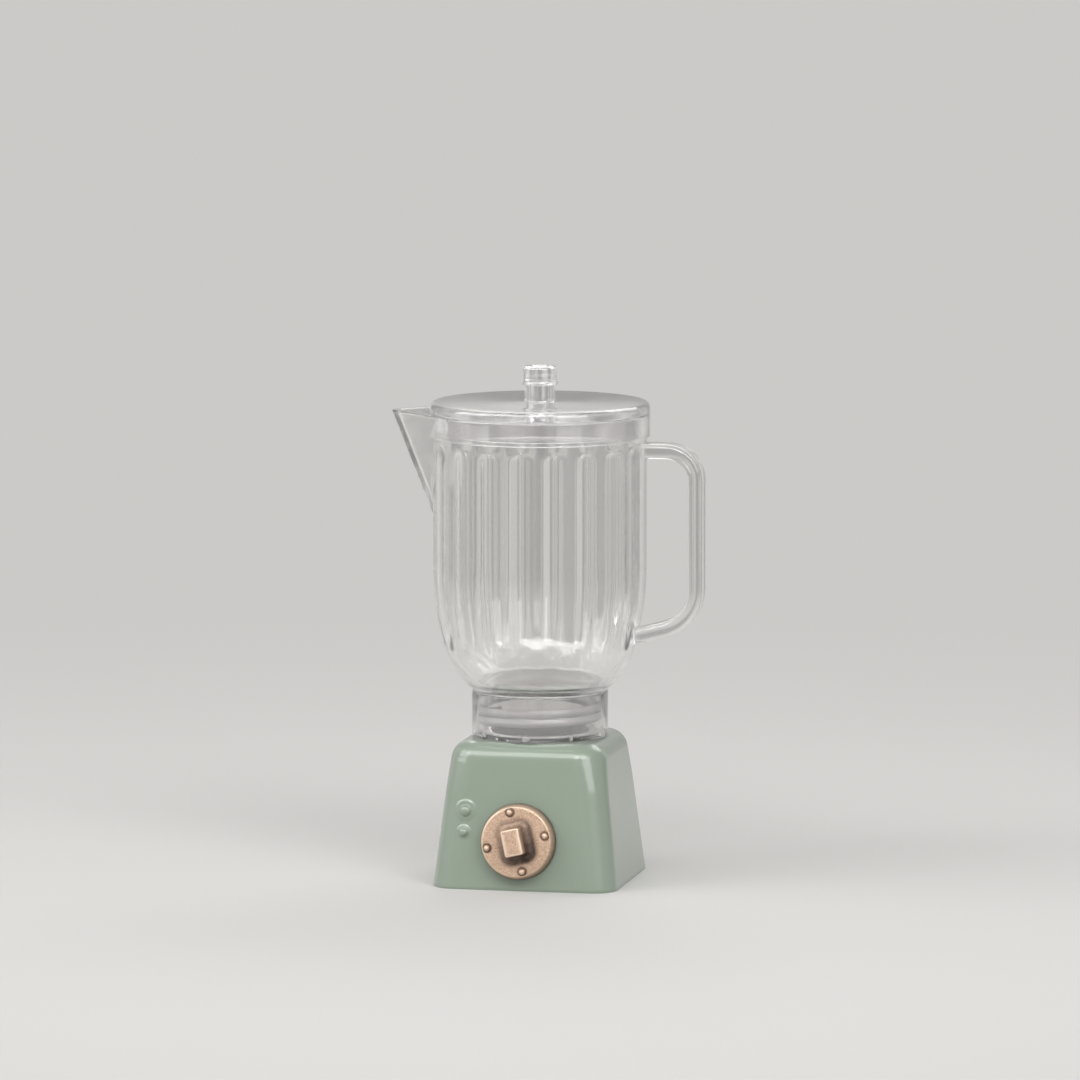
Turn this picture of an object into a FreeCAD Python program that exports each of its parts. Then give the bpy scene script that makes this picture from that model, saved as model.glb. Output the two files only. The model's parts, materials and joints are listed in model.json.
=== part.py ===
import FreeCAD, Part
import math
import os

import Sketcher
from FreeCAD import Placement, Rotation, Vector

# Toy countertop blender, about 75 mm tall: a painted tapered base with a turning dial, a clear
# screw-ring collar glued on top, a clear fluted jar with a pouring lip and a loop handle, and a
# clear lid with a small plug cap.
#
# Frame: origin at the centre of the base's underside, +Z up, the dial faces -Y, the pouring lip
# points to -X and the handle to +X. Millimetres and degrees.

doc = FreeCAD.newDocument("toy_blender")

FULL_TURN = 360.0
QUARTER_TURN = 90.0
SCREW_CORNERS = ((-1, -1), (1, -1), (1, 1), (-1, 1))

# how Sketcher numbers a sketch's own axes and the points of one of its edges
SKETCH_Y_AXIS, SKETCH_X_AXIS = range(-2, 0)
START, END, CENTRE = range(1, 4)

# lengths that differ by less than this are equal
NEAR = 1e-4

# ---------------------------------------------------------------------------
# Driving dimensions: one spreadsheet row each, name and value
# ---------------------------------------------------------------------------
DRIVING = [
    # painted base housing
    ("base_width", 27.3),
    ("base_height", 21.1),
    ("side_taper", 6.5),
    ("base_wall", 1.4),
    ("corner_radius", 3.6),
    ("shoulder_radius", 2.8),
    ("top_hole_radius", 9.2),
    # how far every cutting shape runs past the face that it opens
    ("cut_overrun", 1.0),
    # moulded domes beside the dial
    ("upper_dome_offset", 8.4),
    ("upper_dome_height", 11.4),
    ("upper_dome_radius", 0.8),
    ("upper_ring_radius", 1.4),
    ("lower_dome_offset", 8.6),
    ("lower_dome_height", 8.3),
    ("lower_dome_radius", 0.6),
    ("lower_ring_radius", 1.05),
    ("ring_rise", 0.18),
    # base plate and its screws
    ("plate_thickness", 1.2),
    ("plate_gap", 0.15),
    ("screw_spacing", 17.0),
    ("screw_boss_radius", 1.6),
    ("screw_shank_radius", 0.6),
    ("screw_length", 5.0),
    ("pilot_spare", 0.5),
    ("screw_head_radius", 1.15),
    ("screw_head_depth", 0.6),
    ("screw_slot_width", 0.35),
    ("screw_slot_length", 1.5),
    ("screw_slot_depth", 0.36),
    # dial
    ("dial_offset", 0.38),
    ("dial_height", 7.15),
    ("dial_radius", 5.55),
    ("dial_face_radius", 5.1),
    ("dial_thickness", 2.1),
    ("dial_edge_radius", 0.4),
    ("dial_turn", 13.3),
    ("dial_gap", 0.15),
    ("grip_width", 2.7),
    ("grip_length", 3.9),
    ("grip_height", 3.1),
    ("grip_edge_radius", 0.35),
    ("grip_rim_radius", 0.2),
    ("grip_flare", 1.05),
    ("rivet_count", 4),
    ("rivet_circle_radius", 4.38),
    ("rivet_head_radius", 0.55),
    ("stem_radius", 1.5),
    ("stem_clearance", 0.06),
    ("spring_gap", 0.05),
    ("spring_height", 0.4),
    ("spring_thickness", 0.2),
    ("washer_radius", 2.9),
    ("washer_thickness", 0.5),
    ("dial_screw_radius", 0.6),
    ("dial_screw_depth", 1.9),
    ("dial_screw_head_radius", 1.15),
    ("dial_screw_head_height", 0.8),
    ("dial_screw_crown", 0.4),
    ("dial_slot_depth", 0.3),
    # clear collar glued on the base
    ("collar_radius", 9.95),
    ("collar_height", 6.5),
    ("collar_wall", 0.5),
    ("collar_floor", 0.6),
    ("collar_spigot_wall", 0.6),
    ("collar_spigot_depth", 1.6),
    ("collar_glue_gap", 0.05),
    # jar
    ("neck_clearance", 0.3),
    ("neck_wall", 0.9),
    ("jar_radius", 15.55),
    ("jar_wall", 1.1),
    ("bowl_height", 18.2),
    ("bowl_side_radius", 42.0),
    ("bowl_turn", 16.6),
    ("barrel_height", 19.1),
    ("rim_height", 3.4),
    ("rim_radius", 16.0),
    ("floor_thickness", 1.2),
    ("flute_count", 20),
    ("flute_phase", 1.5),
    ("flute_depth", 0.36),
    ("flute_radius", 2.6),
    ("flute_top_margin", 2.4),
    ("flute_bottom_turn", 14.8),
    # pouring lip
    ("lip_reach", 22.5),
    ("lip_drop", 17.2),
    ("lip_wall", 1.15),
    ("lip_tip_radius", 1.0),
    ("lip_root_width", 0.8),
    # handle
    ("handle_reach", 23.2),
    ("handle_embed", 1.65),
    ("handle_width", 4.0),
    ("handle_thickness", 2.2),
    ("handle_edge_radius", 0.8),
    ("handle_top_drop", 5.2),
    ("handle_root_height", 36.1),
    ("handle_root_slope", 15.0),
    ("handle_upper_bend", 4.2),
    ("handle_lower_bend", 6.0),
    # lid and its cap
    ("lid_thickness", 1.6),
    ("lid_edge_radius", 0.45),
    ("lid_skirt_depth", 3.0),
    ("lid_skirt_wall", 0.9),
    ("lid_clearance", 0.25),
    ("lid_stem_radius", 2.2),
    ("lid_stem_height", 2.5),
    ("lid_stem_bore", 1.35),
    ("cap_radius", 2.42),
    ("cap_height", 2.7),
    ("cap_edge_radius", 0.45),
    ("cap_flange_radius", 2.6),
    ("cap_flange_height", 0.35),
    ("cap_plug_length", 3.2),
    ("cap_clearance", 0.1),
]

sheet = doc.addObject("Spreadsheet::Sheet", "Sizes")
for row, (alias, number) in enumerate(DRIVING, start=1):
    sheet.set(f"A{row}", alias)
    sheet.set(f"B{row}", str(number))
    sheet.setAlias(f"B{row}", alias)
doc.recompute()


class Size:
    """A length or angle that knows its number and the expression that binds it to the sheet."""

    def __init__(self, number, text):
        self.number = float(number)
        self.text = text

    def __add__(self, other):
        other = as_size(other)
        return Size(self.number + other.number, f"({self.text} + {other.text})")

    def __sub__(self, other):
        other = as_size(other)
        return Size(self.number - other.number, f"({self.text} - {other.text})")

    def __mul__(self, other):
        other = as_size(other)
        return Size(self.number * other.number, f"({self.text} * {other.text})")

    def __truediv__(self, other):
        other = as_size(other)
        return Size(self.number / other.number, f"({self.text} / {other.text})")

    def __neg__(self):
        return Size(-self.number, f"(0 - {self.text})")


def as_size(value):
    return value if isinstance(value, Size) else Size(value, repr(float(value)))


def size(alias):
    return Size(sheet.get(alias), f"Sizes.{alias}")


def sine(angle):
    return Size(math.sin(math.radians(angle.number)), f"sin({angle.text})")


def cosine(angle):
    return Size(math.cos(math.radians(angle.number)), f"cos({angle.text})")


def tangent(angle):
    return Size(math.tan(math.radians(angle.number)), f"tan({angle.text})")


def root(value):
    return Size(math.sqrt(value.number), f"sqrt({value.text})")


ZERO = Size(0, "0")
CUT_OVERRUN = size("cut_overrun")

# ---------------------------------------------------------------------------
# Levels and radii that several pieces share
# ---------------------------------------------------------------------------
BASE_TOP = size("base_height")
HALF_BASE = size("base_width") / 2
SIDE_SLOPE = tangent(size("side_taper"))
WALL_ACROSS = size("base_wall") / cosine(size("side_taper"))

COLLAR_BORE = size("collar_radius") - size("collar_wall")
COLLAR_TOP = BASE_TOP + size("collar_height")
NECK_BOTTOM = BASE_TOP + size("collar_floor")
NECK_RADIUS = COLLAR_BORE - size("neck_clearance")
NECK_TOP = COLLAR_TOP + size("neck_clearance")

BARREL_BOTTOM = COLLAR_TOP + size("bowl_height")
BARREL_TOP = BARREL_BOTTOM + size("barrel_height")
RIM_TOP = BARREL_TOP + size("rim_height")
JAR_INSIDE = size("jar_radius") - size("jar_wall")
LID_TOP = RIM_TOP + size("lid_thickness")


def bowl_corner(offset):
    """Where the two arcs of the bowl's side meet, on a curve `offset` inside the outer skin."""
    turn = size("bowl_turn")
    side = size("bowl_side_radius")
    radius = size("jar_radius") - side * (as_size(1) - cosine(turn)) - offset * cosine(turn)
    level = BARREL_BOTTOM - side * sine(turn) + offset * sine(turn)
    return radius, level


def bowl_shoulder_radius():
    """Radius of the arc that leaves the side arc smoothly and ends on the collar's top edge."""
    turn = size("bowl_turn")
    radius, level = bowl_corner(ZERO)
    across = radius - size("collar_radius")
    down = level - NECK_TOP
    return (across * across + down * down) / ((across * cosine(turn) - down * sine(turn)) * 2)


# ---------------------------------------------------------------------------
# Modelling helpers
# ---------------------------------------------------------------------------
def new_body(label):
    body = doc.addObject("PartDesign::Body", label)
    body.Label = label
    return body


def new_feature(body, kind, name, **properties):
    feature = body.newObject(f"PartDesign::{kind}", f"{body.Label}_{name}")
    for key, value in properties.items():
        if isinstance(value, Size):
            feature.setExpression(key, value.text)
        else:
            setattr(feature, key, value)
    return feature


def origin_plane(body, role):
    return next(item for item in body.Origin.OriginFeatures if item.Role == role)


def new_sketch(body, name, role, offset=ZERO):
    """A sketch on one of the body's own origin planes, moved along its normal."""
    sketch = body.newObject("Sketcher::SketchObject", f"{body.Label}_{name}")
    sketch.AttachmentSupport = [(origin_plane(body, role), "")]
    sketch.MapMode = "FlatFace"
    sketch.AttachmentOffset = Placement(Vector(0, 0, offset.number), Rotation())
    if offset is not ZERO:
        sketch.setExpression("AttachmentOffset.Base.z", offset.text)
    return sketch


def bind(sketch, constraint, value):
    index = sketch.addConstraint(constraint)
    sketch.setExpression(f"Constraints[{index}]", value.text)


def hold_point(sketch, edge, end, point):
    """Tie one end of an edge to its place, measured from the sketch's origin."""
    axes = (("DistanceX", SKETCH_Y_AXIS), ("DistanceY", SKETCH_X_AXIS))
    for (kind, axis), coordinate in zip(axes, point):
        if coordinate is ZERO:
            sketch.addConstraint(Sketcher.Constraint("PointOnObject", edge, end, axis))
        else:
            held = Sketcher.Constraint(kind, SKETCH_X_AXIS, START, edge, end, coordinate.number)
            bind(sketch, held, coordinate)


def arc_between(start, end, radius, side):
    """Circle arc from start to end whose centre lies left (+1) or right (-1) of the way there."""
    chord = end - start
    middle = (start + end) * 0.5
    reach = math.sqrt(max(radius ** 2 - (chord.Length / 2) ** 2, 0.0))
    across = Vector(-chord.y, chord.x, 0).normalize()
    centre = middle + across * (reach * side)
    bow = (middle - centre).normalize() if reach > NEAR else across * -side
    return Part.Arc(start, centre + bow * radius, end)


def draw(sketch, corners, bends=None, closed=True):
    """Draw a profile through the corners. bends gives an edge's radius and centre side.

    Every corner is held by two bound distances and every bend by a bound radius."""
    bends = bends or {}
    count = len(corners) if closed else len(corners) - 1
    places = [Vector(x.number, y.number, 0) for x, y in corners]
    ends = []
    for edge in range(count):
        start, end = places[edge], places[(edge + 1) % len(places)]
        if edge in bends:
            radius, side = bends[edge]
            index = sketch.addGeometry(arc_between(start, end, radius.number, side), False)
            # a sketch arc always runs anticlockwise, so its own ends may be swapped
            swapped = sketch.getPoint(index, START).distanceToPoint(start) > NEAR
            ends.append((index, END, START) if swapped else (index, START, END))
        else:
            index = sketch.addGeometry(Part.LineSegment(start, end), False)
            ends.append((index, START, END))
    for edge in range(count):
        index, first, _ = ends[edge]
        if closed or edge > 0:
            before, _, last = ends[edge - 1]
            sketch.addConstraint(Sketcher.Constraint("Coincident", before, last, index, first))
        hold_point(sketch, index, first, corners[edge])
    if not closed:
        index, _, last = ends[-1]
        hold_point(sketch, index, last, corners[-1])
    for edge, (radius, _) in bends.items():
        held = Sketcher.Constraint("Radius", ends[edge][0], radius.number)
        bind(sketch, held, radius)


def draw_circle(sketch, x, y, radius):
    circle = Part.Circle(Vector(x.number, y.number, 0), Vector(0, 0, 1), radius.number)
    index = sketch.addGeometry(circle, False)
    hold_point(sketch, index, CENTRE, (x, y))
    bind(sketch, Sketcher.Constraint("Radius", index, radius.number), radius)


def rectangle(half_x, half_y):
    return [(-half_x, -half_y), (half_x, -half_y), (half_x, half_y), (-half_x, half_y)]


def revolve(body, name, corners, bends=None, cut=False):
    """Turn a profile, drawn as radius and height, about the body's Z axis."""
    sketch = new_sketch(body, f"{name}_profile", "XZ_Plane")
    draw(sketch, corners, bends)
    kind = "Groove" if cut else "Revolution"
    return new_feature(body, kind, name, Profile=sketch, Angle=FULL_TURN,
                       ReferenceAxis=(sketch, ["V_Axis"]))


def loft(body, name, sections, cut=False):
    kind = "SubtractiveLoft" if cut else "AdditiveLoft"
    return new_feature(body, kind, name, Profile=sections[0], Sections=sections[1:], Ruled=True)


def round_edges(body, base, name, radius, wanted):
    """Fillet the edges of the base feature for which wanted(edge) holds."""
    doc.recompute()
    names = [f"Edge{i}" for i, edge in enumerate(base.Shape.Edges, start=1) if wanted(edge)]
    if not names:
        raise RuntimeError(f"{body.Label}: no edges found for {name}")
    return new_feature(body, "Fillet", name, Base=(base, names), Radius=radius)


def up_a_corner(edge):
    """Whether an edge of a square block climbs along one of its corners."""
    on_diagonal = all(abs(abs(v.X) - abs(v.Y)) < NEAR for v in edge.Vertexes)
    return on_diagonal and edge.BoundBox.ZLength > NEAR


def finish(body, last):
    body.Tip = last
    doc.recompute()
    return body


# ---------------------------------------------------------------------------
# Front face of the base: the dial's seat
# ---------------------------------------------------------------------------
DIAL_SEAT = Vector(-sheet.get("dial_offset"),
                   -(HALF_BASE - size("dial_height") * SIDE_SLOPE).number,
                   sheet.get("dial_height"))
# local +Z of a dial piece points out of the sloping front face, local +Y up along it
FACE_TURN = Rotation(Vector(1, 0, 0), QUARTER_TURN - sheet.get("side_taper"))


def seat_on_front(body, turn=0.0):
    body.Placement = Placement(DIAL_SEAT, FACE_TURN.multiply(Rotation(Vector(0, 0, 1), turn)))


# ---------------------------------------------------------------------------
# Base
# ---------------------------------------------------------------------------
def build_housing():
    """Hollow tapered box, open below, with a round hole on top and four screw bosses inside."""
    body = new_body("housing")
    foot = new_sketch(body, "foot", "XY_Plane")
    draw(foot, rectangle(HALF_BASE, HALF_BASE))
    block = new_feature(body, "Pad", "block", Profile=foot, Length=BASE_TOP,
                        TaperAngle=-size("side_taper"))

    corners = round_edges(body, block, "corners", size("corner_radius"), up_a_corner)

    def on_top(edge):
        return all(abs(v.Z - BASE_TOP.number) < NEAR for v in edge.Vertexes)

    round_edges(body, corners, "shoulder", size("shoulder_radius"), on_top)

    inside_foot = HALF_BASE - WALL_ACROSS
    ceiling = BASE_TOP - size("base_wall")
    mouth = new_sketch(body, "mouth", "XY_Plane")
    draw(mouth, rectangle(inside_foot, inside_foot))
    cavity = new_feature(body, "Pocket", "cavity", Profile=mouth, Length=ceiling, Reversed=True,
                         TaperAngle=-size("side_taper"))

    round_edges(body, cavity, "cavity_corners", size("corner_radius") - size("base_wall"),
                up_a_corner)

    half = size("screw_spacing") / 2
    posts = new_sketch(body, "posts", "XY_Plane", size("plate_thickness"))
    for sx, sy in SCREW_CORNERS:
        draw_circle(posts, half * sx, half * sy, size("screw_boss_radius"))
    new_feature(body, "Pad", "bosses", Profile=posts, Length=ceiling - size("plate_thickness"))
    pilots = new_sketch(body, "pilots", "XY_Plane", size("plate_thickness"))
    for sx, sy in SCREW_CORNERS:
        draw_circle(pilots, half * sx, half * sy, size("screw_shank_radius"))
    new_feature(body, "Pocket", "pilot_holes", Profile=pilots, Reversed=True,
                Length=size("screw_length") - size("plate_thickness") + size("pilot_spare"))

    opening = new_sketch(body, "opening", "XY_Plane", ceiling - CUT_OVERRUN)
    draw_circle(opening, ZERO, ZERO, size("top_hole_radius"))
    new_feature(body, "Pocket", "top_hole", Profile=opening, Reversed=True,
                Length=size("base_wall") + CUT_OVERRUN * 2)

    bore_for_dial(body)
    dome_on_front(body, "upper")
    return finish(body, dome_on_front(body, "lower"))


def on_front(level, outward, upward):
    """A point of the plane x = const, measured out of and up along the sloping front face."""
    taper = size("side_taper")
    y = -(HALF_BASE - level * SIDE_SLOPE) - outward * cosine(taper) + upward * sine(taper)
    z = level + outward * sine(taper) + upward * cosine(taper)
    return y, z


def turned_on_front(body, name, level, offset, profile, bends, cut):
    """Turn a profile of (outward, upward) points about the front face's normal."""
    sketch = new_sketch(body, f"{name}_profile", "YZ_Plane", offset)
    points = [on_front(level, outward, upward) for outward, upward in profile]
    axis = sketch.addGeometry(Part.LineSegment(*[Vector(y.number, z.number, 0)
                                                 for y, z in points[:2]]), True)
    for end, point in zip((START, END), points):
        hold_point(sketch, axis, end, point)
    draw(sketch, points, bends)
    kind = "Groove" if cut else "Revolution"
    return new_feature(body, kind, name, Profile=sketch, Angle=FULL_TURN,
                       ReferenceAxis=(sketch, ["Axis0"]))


def bore_for_dial(body):
    """Round hole through the front wall, a running fit on the dial's stem."""
    radius = size("stem_radius") + size("stem_clearance")
    inner = -(size("base_wall") + CUT_OVERRUN)
    profile = [(inner, ZERO), (CUT_OVERRUN, ZERO), (CUT_OVERRUN, radius), (inner, radius)]
    return turned_on_front(body, "dial_bore", size("dial_height"), -size("dial_offset"), profile,
                           None, True)


def dome_on_front(body, place):
    """Small moulded dome standing on a low round pad, rooted halfway into the wall."""
    level = size(f"{place}_dome_height")
    dome = size(f"{place}_dome_radius")
    ring = size(f"{place}_ring_radius")
    root_depth = -(size("base_wall") / 2)
    rise = size("ring_rise")
    tip = rise + dome
    profile = [(root_depth, ZERO), (tip, ZERO), (rise, dome), (rise, ring - rise), (ZERO, ring),
               (root_depth, ring)]
    return turned_on_front(body, f"{place}_dome", level, -size(f"{place}_dome_offset"),
                           profile, {1: (dome, 1)}, False)


def build_base_plate():
    """Flat cover let into the base's mouth, countersunk for four screws."""
    body = new_body("base_plate")
    thickness = size("plate_thickness")
    half = HALF_BASE - WALL_ACROSS - thickness * SIDE_SLOPE - size("plate_gap")
    outline = new_sketch(body, "outline", "XY_Plane")
    draw(outline, rectangle(half, half))
    plate = new_feature(body, "Pad", "plate", Profile=outline, Length=thickness)

    rounding = size("corner_radius") - size("base_wall") - size("plate_gap")
    plate = round_edges(body, plate, "corners", rounding, up_a_corner)
    spacing = size("screw_spacing") / 2
    for index, (sx, sy) in enumerate(SCREW_CORNERS):
        seat = new_sketch(body, f"seat_{index}", "XY_Plane")
        draw_circle(seat, spacing * sx, spacing * sy, size("screw_head_radius"))
        waist = new_sketch(body, f"waist_{index}", "XY_Plane", size("screw_head_depth"))
        draw_circle(waist, spacing * sx, spacing * sy, size("screw_shank_radius"))
        plate = loft(body, f"countersink_{index}", [seat, waist], cut=True)
    circles = new_sketch(body, "hole_circles", "XY_Plane")
    for sx, sy in SCREW_CORNERS:
        draw_circle(circles, spacing * sx, spacing * sy, size("screw_shank_radius"))
    holes = new_feature(body, "Pocket", "holes", Profile=circles, Reversed=True,
                        Length=thickness + CUT_OVERRUN)
    return finish(body, holes)


def build_base_plate_screws():
    """Four countersunk screws, one group of separate solids."""
    spacing = size("screw_spacing") / 2
    screws = []
    for index, (sx, sy) in enumerate(SCREW_CORNERS):
        screw = doc.addObject("Part::Cylinder", f"screw_shank_{index}")
        screw.setExpression("Radius", "Sizes.screw_shank_radius")
        screw.setExpression("Height", "Sizes.screw_length")
        head = doc.addObject("Part::Cone", f"screw_head_{index}")
        head.setExpression("Radius1", "Sizes.screw_head_radius")
        head.setExpression("Radius2", "Sizes.screw_shank_radius")
        head.setExpression("Height", "Sizes.screw_head_depth")
        slots = []
        for name, turn in (("along", 0.0), ("across", QUARTER_TURN)):
            slot = doc.addObject("Part::Box", f"screw_slot_{index}_{name}")
            slot.setExpression("Length", "Sizes.screw_slot_length")
            slot.setExpression("Width", "Sizes.screw_slot_width")
            slot.setExpression("Height", "Sizes.screw_slot_depth")
            slots.append(slot)
            doc.recompute()
            middle = Vector(slot.Length.Value / 2, slot.Width.Value / 2, 0)
            turned = Rotation(Vector(0, 0, 1), turn)
            slot.Placement = Placement(-turned.multVec(middle), turned)
        solid = doc.addObject("Part::MultiFuse", f"screw_solid_{index}")
        solid.Shapes = [screw, head]
        cross = doc.addObject("Part::MultiFuse", f"screw_cross_{index}")
        cross.Shapes = slots
        cut = doc.addObject("Part::Cut", f"screw_{index}")
        cut.Base = solid
        cut.Tool = cross
        cut.setExpression("Placement.Base.x", (spacing * sx).text)
        cut.setExpression("Placement.Base.y", (spacing * sy).text)
        screws.append(cut)
    group = doc.addObject("Part::Compound", "base_plate_screws")
    group.Label = "base_plate_screws"
    group.Links = screws
    doc.recompute()
    return group


# ---------------------------------------------------------------------------
# Dial and what holds it, drawn about local Z with the front face at local z = 0
# ---------------------------------------------------------------------------
DIAL_FACE = size("dial_gap") + size("dial_thickness")
SPRING_TOP = size("base_wall") + size("spring_gap")
STEM_END = SPRING_TOP + size("spring_height")


def build_dial():
    """Round dial with a rectangular grip, four rivet-like studs and a stem, in one moulding."""
    body = new_body("dial")
    back = size("dial_gap")
    face = DIAL_FACE
    rounding = size("dial_edge_radius")
    profile = [(ZERO, back), (size("dial_radius"), back), (size("dial_radius"), back + rounding),
               (size("dial_face_radius"), face), (ZERO, face)]
    disc = revolve(body, "disc", profile)

    def face_rim(edge):
        return isinstance(edge.Curve, Part.Circle) and \
            abs(edge.Curve.Radius - sheet.get("dial_face_radius")) < NEAR

    round_edges(body, disc, "edge", rounding, face_rim)

    half_width = size("grip_width") / 2
    half_length = size("grip_length") / 2
    outline = new_sketch(body, "grip_outline", "XY_Plane", face)
    draw(outline, rectangle(half_width, half_length))
    grip = new_feature(body, "Pad", "grip", Profile=outline, Length=size("grip_height"))

    def grip_sides(edge):
        return edge.BoundBox.ZLength > sheet.get("grip_height") - NEAR

    grip = round_edges(body, grip, "grip_sides", size("grip_edge_radius"), grip_sides)

    def grip_foot(edge):
        box = edge.BoundBox
        flat = box.ZLength < NEAR and abs(box.ZMax - face.number) < NEAR
        return flat and box.XMax < half_width.number + NEAR and box.YMax < half_length.number + NEAR

    grip = round_edges(body, grip, "grip_flare", size("grip_flare"), grip_foot)

    def grip_top(edge):
        return abs(edge.BoundBox.ZMin - face.number - sheet.get("grip_height")) < NEAR

    round_edges(body, grip, "grip_rim", size("grip_rim_radius"), grip_top)

    stud = new_feature(body, "AdditiveSphere", "stud", Radius=size("rivet_head_radius"))
    stud.AttachmentOffset = Placement(Vector(size("rivet_circle_radius").number, 0,
                                             face.number), Rotation())
    stud.AttachmentSupport = [(origin_plane(body, "XY_Plane"), "")]
    stud.MapMode = "FlatFace"
    stud.setExpression("AttachmentOffset.Base.x", "Sizes.rivet_circle_radius")
    stud.setExpression("AttachmentOffset.Base.z", face.text)
    studs = new_feature(body, "PolarPattern", "studs", Originals=[stud], Angle=FULL_TURN,
                        Axis=(outline, ["N_Axis"]))
    studs.setExpression("Occurrences", "Sizes.rivet_count")
    body.Tip = studs

    stem_outline = new_sketch(body, "stem_outline", "XY_Plane", back)
    draw_circle(stem_outline, ZERO, ZERO, size("stem_radius"))
    new_feature(body, "Pad", "stem", Profile=stem_outline, Length=STEM_END + back, Reversed=True)
    pilot_outline = new_sketch(body, "pilot_outline", "XY_Plane", -STEM_END)
    draw_circle(pilot_outline, ZERO, ZERO, size("dial_screw_radius"))
    pilot = new_feature(body, "Pocket", "pilot", Profile=pilot_outline, Reversed=True,
                        Length=size("dial_screw_depth"))
    finish(body, pilot)
    seat_on_front(body, sheet.get("dial_turn"))
    return body


def build_dial_spring():
    """Dished spring washer round the stem: its outer rim bears on the wall."""
    body = new_body("dial_spring_washer")
    inner = size("stem_radius") + size("stem_clearance")
    outer = size("washer_radius") - size("stem_clearance")
    thick = size("spring_thickness")
    profile = [(inner, -STEM_END), (outer, -SPRING_TOP - thick), (outer, -SPRING_TOP),
               (inner, -STEM_END + thick)]
    finish(body, revolve(body, "ring", profile))
    seat_on_front(body)
    return body


def build_dial_washer():
    """Flat washer that the screw clamps on the stem's end."""
    body = new_body("dial_washer")
    inner = size("dial_screw_radius") + size("stem_clearance")
    far = -STEM_END - size("washer_thickness")
    profile = [(inner, far), (size("washer_radius"), far), (size("washer_radius"), -STEM_END),
               (inner, -STEM_END)]
    finish(body, revolve(body, "ring", profile))
    seat_on_front(body)
    return body


def build_dial_screw():
    """Pan-head screw in the stem's end."""
    body = new_body("dial_screw")
    seat = -STEM_END - size("washer_thickness")
    far = seat - size("dial_screw_head_height")
    shank = size("dial_screw_radius")
    head = size("dial_screw_head_radius")
    crown = size("dial_screw_crown")
    point = -STEM_END + size("dial_screw_depth")
    profile = [(ZERO, far), (head - crown, far), (head, far + crown), (head, seat), (shank, seat),
               (shank, point), (ZERO, point)]
    revolve(body, "solid", profile, {1: (crown, 1)})
    slot_outline = new_sketch(body, "slot_outline", "XY_Plane", far)
    draw(slot_outline, rectangle(head + CUT_OVERRUN, size("screw_slot_width") / 2))
    slot = new_feature(body, "Pocket", "slot", Profile=slot_outline, Reversed=True,
                       Length=size("dial_slot_depth"))
    finish(body, slot)
    seat_on_front(body)
    return body


# ---------------------------------------------------------------------------
# Clear collar, jar and handle
# ---------------------------------------------------------------------------
def build_collar():
    """Clear ring that stands on the base, with a spigot in the base's top hole."""
    body = new_body("neck_collar")
    outer = size("collar_radius")
    bore = COLLAR_BORE
    spigot = size("top_hole_radius") - size("collar_glue_gap")
    inner = spigot - size("collar_spigot_wall")
    bottom = BASE_TOP - size("collar_spigot_depth")
    profile = [(inner, bottom), (spigot, bottom), (spigot, BASE_TOP), (outer, BASE_TOP),
               (outer, COLLAR_TOP), (bore, COLLAR_TOP), (bore, NECK_BOTTOM), (inner, NECK_BOTTOM)]
    return finish(body, revolve(body, "ring", profile))


def jar_skin(height_above=ZERO):
    """Outer profile of the jar from its axis: neck, two bowl arcs, barrel and rim band."""
    top = RIM_TOP + height_above
    corners = [(ZERO, NECK_BOTTOM), (NECK_RADIUS, NECK_BOTTOM), (NECK_RADIUS, NECK_TOP),
               (size("collar_radius"), NECK_TOP), bowl_corner(ZERO),
               (size("jar_radius"), BARREL_BOTTOM), (size("jar_radius"), BARREL_TOP),
               (size("rim_radius"), BARREL_TOP), (size("rim_radius"), top), (ZERO, top)]
    bends = {3: (bowl_shoulder_radius(), 1), 4: (size("bowl_side_radius"), 1)}
    return corners, bends


def jar_inside():
    """Inner profile of the jar: the skin set in by one wall, on a flat floor."""
    wall = size("jar_wall")
    turn = size("bowl_turn")
    floor = NECK_TOP + size("floor_thickness")
    shoulder = bowl_shoulder_radius()
    outer_radius, outer_level = bowl_corner(ZERO)
    centre_radius = outer_radius - shoulder * cosine(turn)
    centre_level = outer_level + shoulder * sine(turn)
    reach = shoulder - wall
    drop = centre_level - floor
    floor_radius = centre_radius + root(reach * reach - drop * drop)
    top = RIM_TOP + CUT_OVERRUN
    corners = [(ZERO, floor), (floor_radius, floor), bowl_corner(wall), (JAR_INSIDE, BARREL_BOTTOM),
               (JAR_INSIDE, top), (ZERO, top)]
    return corners, {1: (reach, 1), 2: (size("bowl_side_radius") - wall, 1)}


def lip_section(body, name, level, reach, tangent_radius):
    """Triangle whose sides leave the tangent radius and meet at the lip's nose."""
    along = tangent_radius * tangent_radius / reach
    across = root(tangent_radius * tangent_radius - along * along)
    sketch = new_sketch(body, name, "XY_Plane", level)
    draw(sketch, [(-reach, ZERO), (-along, -across), (-along, across)])
    return sketch


def lip_root(body, name, level, reach):
    """Small triangle in the barrel's wall, where the lip's nose runs out."""
    half = size("lip_root_width") / 2
    sketch = new_sketch(body, name, "XY_Plane", level)
    draw(sketch, [(-reach, ZERO), (half - reach, -half), (half - reach, half)])
    return sketch


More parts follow.
